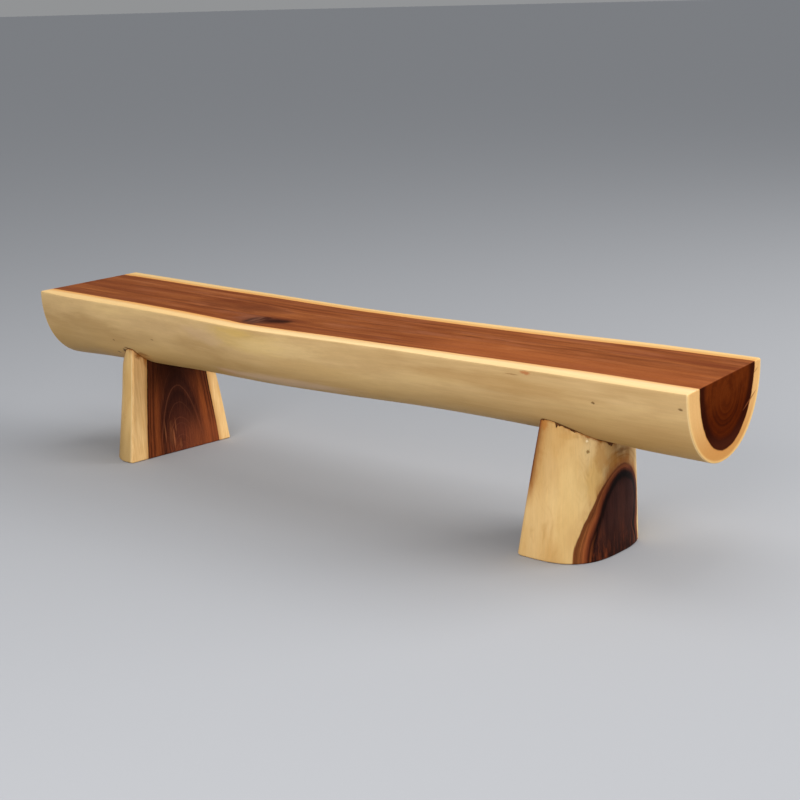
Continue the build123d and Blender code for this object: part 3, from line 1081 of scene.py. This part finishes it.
def field(place, name):
    """A number stored on the mesh, for the material that the place belongs to."""
    return add("Attribute", {}, "Fac", place.tree, attribute_name=name)


def finish_wood(material, colour, place, figure, inside, streaky):
    """Adds streaks, fibres and pores to a wood's colour, and lacquers it.

    inside is 1 in the heart and 0 in the sapwood. Streaks are faint in the sapwood, and streaky
    is their strength in the heart.
    """
    streak = (figure["Streaks"] - 0.5) * steps(inside, 0.0, 1.0, 0.05, streaky)
    shade = streak + (figure["Fibre"] - 0.5) * 0.06 + 1.0
    shade = shade - figure["Pores"] * steps(inside, 0.0, 1.0, 0.03, 0.22)
    shade = add("CombineColor", {0: shade, 1: shade, 2: shade})
    colour = mix(1.0, colour, shade, "MULTIPLY")
    lacquer = use(satin_lacquer, Vector=place, Fibre=figure["Fibre"], Pores=figure["Pores"])
    relief, shine = (0.6, 0.00006), {"Specular IOR Level": 0.025}
    coat(material, colour, lacquer["Roughness"], lacquer["Height"], relief, shine)
    print(material.name, len(material.node_tree.nodes), "nodes")


def wear(piece, *materials):
    """Puts materials on a piece, in place of what it wore."""
    piece.data.materials.clear()
    for material in materials:
        piece.data.materials.append(material)


# %% [markdown]
# ## Seat wood
# The heart's colour follows the bands, from dark brown to orange-brown, and dark lines run
# through it. It is darker round the middle of the left half, and warmer at the right front. A
# knot with a darker, torn grain round it lies at the front edge.

# %% The seat's heart on the sawn top
seat_wood, place, grain = new_wood("suar seat wood")
x, y, z = split(place)
bark_side, end_grain = field(place, "bark_side"), field(place, "end_grain")
figure = use(wood_figure, Vector=grain, Ring=field(place, "ring"), Width=0.0075, Wobble=0.006)
edge = use(sapwood_edge, Vector=grain, Heart=field(place, "heart"))
bands, depth = figure["Bands"], edge["Depth"]
patches = cloud(grain, 6.0, 30.0, 4.0, 0.6, 0.32, 0.68)
broad = cloud(grain, 1.3, 17.0, 3.0, 0.6)
heart = lay(
    ramp(bands, (0.0, 106, 54, 28), (0.3, 128, 68, 36), (0.62, 148, 83, 43), (1.0, 168, 100, 53)),
    (steps(patches, 0.5, 1.0, 0.0, 0.4), 162, 100, 70),
    (steps(patches, 0.5, 0.0, 0.0, 0.4), 114, 52, 25),
    (steps(broad, 0.45, 1.0, 0.0, 0.55), 118, 56, 30),
    (figure["Lines"] * 0.4, 92, 42, 22),
    (fade(x, -0.55, -0.9, 0.0, 0.15), 158, 90, 50),
    (fade(x, 0.18, 0.42) * fade(y, 0.05, -0.06) * 0.42, 172, 96, 50),
    (fade(depth, 0.016, 0.002, 0.0, 0.3), 112, 50, 25),
)
TOP_MARKS = [  # x, y, reach x, y, tone, strength, ragged, turned
    (-0.4, 0.004, 0.2, 0.07, 106, 50, 26, 0.62, 0.5, 0.0),
    (-0.29, -0.006, 0.13, 0.06, 108, 56, 32, 0.55, 0.5, 0.0),
    (-0.18, -0.092, 0.15, 0.05, 110, 54, 31, 0.6, 0.5, 0.3),
    (-0.25, -0.098, 0.06, 0.036, 142, 88, 64, 0.5, 0.6, 0.42),
    (-0.202, -0.113, 0.058, 0.058, 80, 49, 38, 0.9, 0.35, 0.58),
    (-0.16, -0.092, 0.062, 0.038, 72, 34, 20, 0.85, 0.4, 0.3),
    (-0.152, -0.093, 0.048, 0.022, 48, 21, 13, 0.85, 0.4, 0.25),
    (-0.204, -0.086, 0.024, 0.026, 64, 28, 17, 0.85, 0.5, 0.42),
    (-0.214, -0.104, 0.008, 0.04, 138, 92, 70, 0.55, 0.5, 0.1),
    (-0.196, -0.112, 0.006, 0.034, 130, 84, 62, 0.5, 0.5, 0.1),
    (-0.226, -0.12, 0.006, 0.026, 60, 36, 27, 0.6, 0.5, 0.1),
    (0.345, 0.028, 0.05, 0.005, 96, 46, 25, 0.75, 0.6, 0.0),
    (0.419, 0.0355, 0.04, 0.004, 100, 48, 26, 0.65, 0.6, 0.0),
    (0.5, -0.02, 0.06, 0.016, 182, 112, 66, 0.35, 0.6, 0.2),
]
rows = [(*row[:2], SEAT_TOP, *row[2:4], 0.02, *row[4:]) for row in TOP_MARKS]
heart = lay_marks(heart, place, rows)
print("marks on the top:", len(TOP_MARKS))

# %% [markdown]
# End grain drinks more lacquer than long grain, so the same wood is much deeper there, and nearly
# black in a band under the sapwood. The sapwood is orange beside the heart and pale at its rim.

# %% The seat's ends and sapwood
end_heart = ramp(bands, (0.0, 56, 19, 7), (0.5, 78, 28, 8), (1.0, 92, 38, 11))
end_heart = lay(
    end_heart,
    (fade(z, 0.34, 0.4) * steps(patches, 0.0, 1.0, 0.35, 0.75), 104, 46, 15),
    (steps(patches, 0.5, 0.0, 0.0, 0.25), 50, 16, 8),
    (figure["Lines"] * 0.45, 46, 14, 6),
)
rim_tone = mix(fade(z, 0.33, 0.28), tone(42, 15, 9), tone(62, 28, 18))
end_heart = mix(fade(depth + broad * 0.006, 0.039, 0.017) * 0.85, end_heart, rim_tone)
heart = mix(end_grain, heart, end_heart)

sap = ramp(bands, (0.0, 226, 190, 136), (0.5, 237, 204, 152), (1.0, 244, 214, 168))
sap = lay(
    sap,
    (fade(x, 0.1, -0.5, 0.0, 0.6), 234, 176, 106),
    (steps(y, 0.0, 0.05), 222, 173, 110),
    (fade(depth, -0.02, -0.003) * steps(x, 0.2, -0.3, 0.55, 0.85), 230, 166, 92),
    (fade(depth, -0.015, -0.027, 0.0, 0.45), 252, 220, 156),
)
end_sap = mix(fade(z, 0.385, 0.265), tone(228, 182, 120), tone(200, 142, 78))
end_sap = lay(end_sap, (bands * 0.35, 200, 144, 84), (field(place, "rim") * 0.7, 240, 202, 136))
sap = mix(end_grain, sap, end_sap)
sap = lay(sap, (fade(depth, -0.0045, -0.0005, 0.0, 0.45), 196, 124, 64))
for start, run, width, strength in (
    ((0.9788, 0.1819, 0.3631), (0.007, -0.0714, -0.0306), 0.002, 0.9),
    ((0.9782, 0.1888, 0.4104), (0.0031, -0.0314, -0.0114), 0.0015, 0.65),
):
    check = use(drying_check, Vector=place, Start=start, Run=run, Width=width)
    check = check * (end_grain * strength)
    sap, heart = lay(sap, (check, 126, 72, 34)), lay(heart, (check, 122, 66, 36))

# %% [markdown]
# The round side is duller, with pin marks, stains where the bark held on, and the shade of the
# carved hollows, and browner at both ends. Painted shade darkens it lower down, a painted
# reflection of the floor lightens the underside, and painted contact shade deepens the glue stain
# round the left leg.

# %% The seat's bark side
mottle = use(bark_mottle, Vector=grain)
bark = ramp(mottle["Clouds"], (0.0, 196, 160, 108), (0.5, 212, 177, 124), (1.0, 226, 192, 134))
bark = lay(
    bark,
    (mottle["Blotches"] * 0.45, 188, 149, 100),
    (mottle["Streaks"] * 0.35, 232, 198, 146),
    # Painted shade: darker and browner lower down the round side.
    (fade(z, 0.385, 0.26, 0.0, 0.75), 190, 150, 88),
    (fade(x, 0.4, 0.75) * fade(z, 0.405, 0.335) * 0.42, 178, 136, 80),
)
bark = lay_marks(bark, place, [  # x, y, z, reach x, y, z, tone, strength
    (-0.715, -0.144, 0.321, 0.005, 0.007, 0.004, 128, 92, 52, 0.8),
    (-0.543, -0.16, 0.345, 0.007, 0.007, 0.003, 138, 102, 60, 0.7),
    (0.795, -0.158, 0.377, 0.006, 0.006, 0.004, 92, 60, 28, 0.85),
    (0.995, -0.16, 0.393, 0.007, 0.006, 0.004, 100, 66, 32, 0.8),
    (0.634, -0.168, 0.419, 0.017, 0.01, 0.006, 186, 110, 62, 0.75),
    (0.6, -0.168, 0.412, 0.022, 0.01, 0.0022, 150, 108, 66, 0.6),
    # Painted reflection of the floor: pale pinkish light along the underside between the legs.
    (-0.29, -0.124, 0.285, 0.06, 0.03, 0.02, 206, 160, 120, 0.5),
    (-0.1, -0.13, 0.29, 0.3, 0.04, 0.024, 222, 190, 164, 0.45),
    (-0.18, -0.2, 0.39, 0.19, 0.05, 0.044, 224, 190, 112, 0.4),
    (-0.205, -0.202, 0.413, 0.09, 0.03, 0.014, 222, 184, 100, 0.4),
    (-0.315, -0.189, 0.386, 0.115, 0.04, 0.034, 212, 178, 138, 0.5),
    (-0.54, -0.18, 0.385, 0.16, 0.04, 0.03, 196, 160, 114, 0.45),
    (-0.8, -0.17, 0.355, 0.17, 0.05, 0.036, 180, 144, 92, 0.55),
    (0.56, -0.165, 0.384, 0.34, 0.05, 0.03, 186, 144, 88, 0.5),
    (-0.06, -0.195, 0.385, 0.18, 0.05, 0.034, 236, 204, 146, 0.45),
    (0.02, -0.17, 0.345, 0.2, 0.05, 0.03, 206, 168, 108, 0.35),
    # Round the left leg's top: a brown glue stain with painted contact shade where the seat meets
    # the leg; the near-black spot at x -0.7 is painted shade.
    (-0.66, -0.1, 0.275, 0.045, 0.034, 0.022, 172, 114, 54, 0.65),
    (-0.636, -0.114, 0.286, 0.03, 0.026, 0.009, 150, 94, 42, 0.6),
    (-0.7, -0.116, 0.285, 0.014, 0.022, 0.014, 66, 34, 12, 0.95),
    (-0.739, -0.107, 0.279, 0.008, 0.01, 0.005, 104, 66, 36, 0.7),
    (-0.683, -0.128, 0.3, 0.014, 0.01, 0.005, 120, 72, 34, 0.7),
])

# %% [markdown]
# Heart shows where the depth says so, but never under the bark side's skin. The ends are dull,
# so they wear a copy of the material whose surface doesn't shine.

# %% The seat's two materials
inside = edge["Inside"] * steps(bark_side, 0.0, 1.0, 1.0, 0.0)
colour = mix(inside, mix(bark_side, sap, bark), heart)
finish_wood(seat_wood, colour, place, figure, inside, 0.13)
end_wood = seat_wood.copy()
end_wood.name = "suar end grain"
end_wood.node_tree.nodes["Principled BSDF"].inputs["Specular IOR Level"].default_value = 0.0
wear(seat, seat_wood, end_wood)
facing = np.empty(len(seat.data.polygons) * 3)
seat.data.polygons.foreach_get("normal", facing)
seat.data.polygons.foreach_set("material_index", (np.abs(facing[::3]) > 0.9).astype(np.int32))
print("faces of end grain:", int((np.abs(facing[::3]) > 0.9).sum()))

# %% [markdown]
# ## Leg wood
# Both legs share their pale wood. On the saw cut it is clean cream; on the round side, under
# where the bark was, it is a little greener and carries faint loops where the carver's tool ran
# across the rings. Near the seat the glue has stained it brown. These steps are one function,
# and each leg then adds its own heart.

# %% Pale leg wood
UPRIGHT = (0.0, math.radians(90), 0.0)


def begin_leg(name, waves, soft_high, wobble):
    """A leg's material with its place, grain, figure, sapwood edge, bark side and pale colour.

    The sapwood's edge wanders by waves. It is crisp near the floor, and soft_high says how soft
    it is at the top.
    """
    material, place, grain = new_wood(name, UPRIGHT)
    heart, ring, bark_side, end_grain, seam = (
        field(place, label) for label in ("heart", "ring", "bark_side", "end_grain", "seam")
    )
    figure = use(wood_figure, Vector=grain, Ring=ring, Width=0.006, Wobble=wobble)
    height = split(place)[2]
    softness = steps(height, 0.15, 0.19, 0.0012, soft_high)
    edge = use(sapwood_edge, Vector=grain, Heart=heart, Waves=waves, Softness=softness)
    mottle = use(bark_mottle, Vector=grain)
    sawn = ramp(figure["Streaks"], (0.0, 232, 184, 119), (1.0, 246, 206, 145))
    sawn = lay(sawn, (fade(height, 0.1, 0.26, 0.0, 0.3), 222, 162, 92))
    loops = calc("SINE", cloud(grain, 7.0, 15.0, 2.0, 0.5, 0.0, 1.0) * 95.0)
    loops = loops * steps(mottle["Blotches"], 0.0, 0.7, 0.25, 1.0)
    bands = mix(0.15, mottle["Clouds"], figure["Bands"])
    carved = ramp(bands, (0.2, 218, 176, 112), (0.5, 233, 195, 131), (0.8, 246, 214, 154))
    carved = lay(
        carved,
        (steps(loops, 0.2, 1.0, 0.0, 0.36), 192, 142, 80),
        (steps(loops, -0.2, -1.0, 0.0, 0.3), 252, 226, 172),
        (mottle["Blotches"] * 0.3, 204, 158, 96),
        (mottle["Specks"] * 0.35, 150, 104, 60),
    )
    smear = steps(cloud(grain, 30.0, 90.0, 4.0, 0.6), 0.35, 0.9)
    stain = fade(seam, 0.026, 0.002) * smear + steps(seam, 0.007, 0.0015)
    pale = lay(
        mix(bark_side, sawn, carved),
        # Painted highlight: a light band along the eased edge between the saw cut and the round
        # side.
        (bark_side * (1.0 - bark_side) * 2.0, 248, 220, 166),
        (end_grain * 0.8, 190, 146, 92),
        (stain * 0.7, 158, 94, 42),
        (steps(end_grain, 0.0, 0.6) * 0.5, 176, 122, 70),
    )
    return material, place, grain, figure, edge, bark_side, pale


# %% [markdown]
# The saw cut of the left leg cuts its rings at a slant. Their colours, from the pith outwards,
# are one long ramp: dark middle, two thin pale arches with near-black between them, then brown
# that warms to orange, and thin dark lines just inside the sapwood.

# %% The left leg's arches
begun = begin_leg("suar left leg wood", 0.002, 0.0012, 0.001)
left_wood, place, grain, figure, edge, bark_side, pale = begun
_, y, z = split(place)
depth = edge["Depth"]
middle = ramp(
    figure["Ring"] / LEG_RING_SPAN,
    (0.0, 106, 54, 37), (0.46, 98, 50, 35), (0.55, 84, 42, 30), (0.62, 68, 33, 23),
    (0.695, 46, 21, 15), (0.715, 66, 32, 21), (0.745, 54, 25, 17), (0.8, 98, 47, 25),
)
slope, near_side = field(place, "slope"), fade(y, 0.035, -0.03, 0.45, 1.0)
for value, thickness, strength in (
    (0.716, 0.0022, 0.5), (0.603, 0.002, 0.35), (0.58, 0.002, 0.25), (0.66, 0.002, 0.2),
    (0.53, 0.0022, 0.3), (0.495, 0.0026, 0.2), (0.77, 0.0022, 0.18),
):
    value = value * LEG_RING_SPAN
    line = use(ring_line, Ring=figure["Ring"], Slope=slope, Value=value, Thickness=thickness)
    middle = lay(middle, (line * near_side * strength, 126, 72, 50))
sides = ramp(
    depth / 0.05,
    (0.0, 50, 20, 11), (0.05, 48, 20, 11), (0.1, 128, 66, 33), (0.16, 118, 58, 29),
    (0.19, 70, 32, 17), (0.24, 134, 68, 34), (0.32, 120, 60, 29), (0.37, 72, 33, 18),
    (0.43, 118, 58, 28), (0.52, 140, 72, 34), (0.72, 126, 63, 30), (0.9, 92, 43, 23),
)
heart = mix(fade(depth, 0.046, 0.03), middle, sides)
print("the heart starts with", len(place.tree.nodes), "nodes")

# %% [markdown]
# Fine light and dark streaks run over the arches, most of all near the sides. The far side of
# the cut is warmer than the near side, and the top is darker: near-black heartwood, deepened by
# painted shade from the seat above.

# %% Left leg wood
fine = cloud(grain, 2.4, 420.0, 3.0, 0.6)
apart = cloud(grain, 3.0, 60.0, 3.0, 0.6)
outer = steps(depth, 0.06, 0.034, 0.3, 1.0)
heart = lay(
    heart,
    (steps(fine, 0.55, 1.0, 0.0, 0.5) * apart * outer, 160, 84, 42),
    (steps(fine, 0.45, 0.0, 0.0, 0.5) * steps(apart, 0.8, 0.2) * outer, 40, 17, 10),
    (steps(figure["Bands"], 0.5, 0.1, 0.0, 0.22), 54, 24, 15),
    (figure["Lines"] * outer * 0.35, 40, 17, 11),
    (fade(y, 0.02, -0.07, 0.0, 0.25), 70, 31, 17),
    # Near-black heartwood at the top, with painted shade from the seat above it.
    (fade(z, 0.13, 0.25, 0.0, 0.8) * steps(depth, 0.008, 0.03, 0.6, 1.0), 34, 14, 8),
    (fade(y, 0.02, 0.06) * fade(z, 0.09, 0.16) * 0.25, 50, 20, 10),
    (fade(y, -0.01, 0.055) * fade(z, 0.13, 0.02) * 0.62, 134, 70, 42),
    (fade(z, 0.09, 0.0) * steps(figure["Streaks"], 0.35, 0.8) * 0.35, 140, 70, 36),
)
heart = lay_marks(heart, place, [  # x, y, z, reach x, y, z, tone, strength
    (-0.632, -0.034, 0.05, 0.03, 0.012, 0.04, 156, 92, 56, 0.25),
    (-0.631, -0.028, 0.036, 0.03, 0.003, 0.03, 156, 92, 56, 0.7),
    (-0.634, -0.055, 0.062, 0.03, 0.003, 0.036, 156, 92, 56, 0.45),
    (-0.631, -0.02, 0.07, 0.03, 0.003, 0.026, 156, 92, 56, 0.35),
    (-0.63, -0.008, 0.02, 0.03, 0.005, 0.018, 156, 92, 56, 0.35),
])
warm = fade(depth, -0.014, -0.0005, 0.0, 0.6) * steps(bark_side, 0.6, 0.1)
pale = lay_marks(lay(pale, (warm, 186, 124, 62)), place, [
    (-0.64, -0.108, 0.281, 0.03, 0.03, 0.014, 158, 96, 40, 0.9),
    (-0.648, -0.092, 0.268, 0.03, 0.01, 0.03, 158, 96, 40, 0.6),
])
# Painted shade: the left leg's round side turns darker and grey-brown towards the floor.
pale = lay(pale, (fade(z, 0.16, 0.0, 0.05, 0.6) * bark_side, 150, 118, 72))
finish_wood(left_wood, mix(edge["Inside"], pale, heart), place, figure, edge["Inside"], 0.22)
wear(leg_left, left_wood)

# %% [markdown]
# The right leg's pale wood is darkened beside the patch and under the seat, a smoky brown stain
# with painted shade from the seat mixed in. It is stained in a halo round the patch, and marked
# where the chips and the glue are.

# %% The right leg's pale wood
begun = begin_leg("suar right leg wood", 0.008, 0.0035, 0.004)
right_wood, place, grain, figure, edge, _, pale = begun
_, y, z = split(place)
bands, depth = figure["Bands"], edge["Depth"]
smear = cloud(grain, 14.0, 40.0, 4.0, 0.65)
# A brown stain mixed with painted shade from the seat, beside the patch and under the seat.
brown_and_seat_shade = fade(depth, -0.06, -0.004) * fade(z, 0.12, 0.21) * 0.6
brown_and_seat_shade = brown_and_seat_shade + fade(y, -0.07, -0.01) * fade(z, 0.16, 0.23) * 0.55
brown_and_seat_shade = brown_and_seat_shade * steps(smear + bands, 0.2, 1.6, 0.6, 1.1)
pale = lay(pale, (brown_and_seat_shade, 146, 98, 44), (fade(y, -0.07, -0.115, 0.0, 0.4), 204, 152, 86))
pale = lay_marks(pale, place, [  # x, y, z, reach x, y, z, tone, strength
    (0.712, -0.1, 0.11, 0.06, 0.05, 0.19, 244, 210, 144, 0.5),
    (0.74, -0.06, 0.175, 0.03, 0.034, 0.06, 232, 188, 112, 0.6),
])
halo = fade(depth, -0.024, 0.0) * steps(smear, 0.1, 0.8, 0.25, 1.0)
pale = lay(
    pale,
    (halo * steps(z, 0.02, 0.17, 0.15, 1.15) * 0.75, 170, 106, 50),
    (fade(depth, -0.013, 0.001) * fade(z, 0.13, 0.19) * 0.6, 128, 76, 35),
)
pale = lay_marks(pale, place, [
    (0.745, -0.048, 0.226, 0.03, 0.022, 0.04, 196, 140, 70, 0.55),
    (0.731, -0.078, 0.245, 0.007, 0.005, 0.0048, 140, 102, 50, 0.85),
    (0.729, -0.079, 0.268, 0.006, 0.0034, 0.0034, 252, 232, 190, 0.9),
    (0.745, -0.06, 0.144, 0.006, 0.003, 0.006, 150, 98, 52, 0.8),
    (0.648, -0.121, 0.302, 0.016, 0.02, 0.016, 184, 116, 50, 0.6),
    (0.7, -0.105, 0.28, 0.03, 0.02, 0.01, 206, 156, 88, 0.4),
    (0.752, 0.018, 0.23, 0.02, 0.026, 0.007, 112, 66, 30, 0.5),
    (0.75, -0.012, 0.215, 0.03, 0.026, 0.018, 184, 128, 62, 0.55),
])

# %% [markdown]
# The patch is coloured by depth: an orange-brown line at its rim, red-brown with streaks that
# follow the rim, a black band, and a deeper brown with upright streaks that are clearest near
# the floor.

# %% The right leg's dark patch
thinner = fade(y, 0.03, 0.07, 0.0, 0.01) + fade(z, 0.2, 0.05, 0.0, -0.009)
heart = ramp(
    (depth + thinner) / 0.08,
    (0.0, 158, 94, 50), (0.03, 132, 74, 41), (0.08, 160, 90, 49), (0.13, 136, 71, 40),
    (0.19, 104, 50, 29), (0.235, 66, 31, 20), (0.275, 28, 13, 9), (0.36, 26, 13, 10),
    (0.43, 58, 31, 26), (0.6, 60, 33, 28), (1.0, 60, 33, 27),
)
outer, inner = steps(depth, 0.024, 0.016), steps(depth, 0.028, 0.04)
flames = cloud(grain, 6.0, 34.0, 4.0, 0.65)
licks = steps(cloud(grain, 20.0, 95.0, 4.0, 0.7), 0.4, 0.9) * steps(flames, 0.2, 0.7)
low = steps(z, 0.085, 0.0, 0.06, 1.0)
reddish = steps(calc("ABSOLUTE", depth - 0.033), 0.004, 0.001) * steps(z, 0.07, 0.01)
heart = lay(
    heart,
    (steps(bands, 0.6, 0.2) * outer * 0.62, 66, 31, 18),
    (steps(bands, 0.6, 0.95) * outer * 0.6, 172, 100, 56),
    (steps(flames, 0.5, 0.0, 0.0, 0.65) * inner, 32, 16, 13),
    (steps(flames, 0.5, 1.0, 0.0, 0.45) * inner, 84, 48, 36),
    (inner * low * 0.75, 32, 15, 12),
    (licks * inner * low * 0.65, 134, 64, 34),
    (fade(z, 0.14, 0.18) * steps(depth, 0.011, 0.018) * 0.8, 14, 7, 5),
    (reddish * 0.8, 128, 66, 34),
)
finish_wood(right_wood, mix(edge["Inside"], pale, heart), place, figure, edge["Inside"], 0.07)
wear(leg_right, right_wood)

# %% [markdown]
# ## Glue, dowels and screws
# The glue bed is resin with fine sawdust: almost black brown, rough, with a grainy skin. Where
# the right leg fits best, hardly any glue shows and the joint is pale with dust.

# %% Glue
glue_paste, place = new_finish("glue and sawdust")
lumps = cloud(place, 380.0, 380.0, 4.0, 0.65)
dust = cloud(place, 1400.0, 1400.0, 2.0, 0.6, 0.45, 0.7) * 0.3
colour = ramp(lumps, (0.0, 40, 21, 8), (0.55, 86, 48, 20), (1.0, 144, 90, 44))
colour = lay_marks(lay(colour, (dust, 150, 104, 62)), place, [
    (0.731, -0.074, 0.274, 0.024, 0.03, 0.02, 176, 126, 70, 0.85, 0.2, 0.0),
])
rough = steps(lumps, 0.0, 1.0, 0.5, 0.75)
coat(glue_paste, colour, rough, lumps + dust, (0.8, 0.0005), {"Specular IOR Level": 0.08})
for piece in (glue_left, glue_right):
    wear(piece, glue_paste)
print(glue_paste.name, "on", [p.name for p in (glue_left, glue_right)])

# %% [markdown]
# The dowels, screws and washers keep their measured shapes, and only get finishes. A dowel is
# straight-grained beech, with the short dark flecks that beech has. It is never lacquered.

# %% Beech
beech, place, grain = new_wood("beech dowel wood", UPRIGHT)
figure = use(wood_figure, Vector=grain, Ring=split(place)[1], Width=0.003, Wobble=0.001)
flecks = cloud(grain, 260.0, 1900.0, 0.0, 0.5, 0.6, 0.7)
colour = ramp(figure["Bands"], (0.0, 196, 146, 102), (0.5, 212, 166, 122), (1.0, 226, 186, 144))
colour = lay(colour, (flecks * 0.4, 150, 98, 62))
rough = steps(figure["Fibre"], 0.0, 1.0, 0.55, 0.72)
coat(beech, colour, rough, figure["Fibre"], (0.5, 0.0001), {})

# %% [markdown]
# The screws and washers are steel with a dull zinc plating. Zinc has a faint spangle, darkens
# in blotches and is scratched by the spanner, so its tone and its roughness both vary.

# %% Zinc-plated steel
zinc, place = new_finish("zinc plated steel")
spangle = add("TexVoronoi", {"Vector": place, "Scale": 420.0}, "Color")
spangle = add("SeparateColor", {0: spangle})
dulling = cloud(place, 160.0, 160.0)
scratch = cloud(place, 2600.0, 2600.0, 1.0, 0.5, 0.62, 0.74, up=90.0)
colour = ramp(dulling, (0.0, 150, 152, 154), (0.6, 186, 188, 190), (1.0, 204, 206, 206))
colour = lay(colour, (spangle * 0.25, 168, 174, 184))
rough = steps(dulling, 0.0, 1.0, 0.46, 0.3) + scratch * 0.15
coat(zinc, colour, rough, dulling - scratch, (0.3, 0.00005), {"Metallic": 1.0})

# %% Finishes on the measured parts
for name, part in sorted(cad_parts.items()):
    finish = {"dowel": beech, "lag": zinc, "washer": zinc}.get(name.split("_")[0])
    if finish:
        for index in range(len(part.data.materials)):
            part.data.materials[index] = finish
        print(name, "->", finish.name)

# %% [markdown]
# ## Closing
# Every piece says which body it moves with and which measured part it stands for.

# %% Rides and replacements
SHARP = math.radians(38)
for piece, slot_name, node in (
    (seat, "seat_wood", "seat_log"),
    (leg_left, "leg_wood", "leg_left"),
    (leg_right, "leg_wood", "leg_right"),
    (glue_left, "seam_filler", "seam_filler_left"),
    (glue_right, "seam_filler", "seam_filler_right"),
):
    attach(piece, "root")
    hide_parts(node)
    piece.data.polygons.foreach_set("use_smooth", np.ones(len(piece.data.polygons), bool))
    piece.data.set_sharp_from_angle(angle=SHARP)
    print(piece.name, "stands for", node)
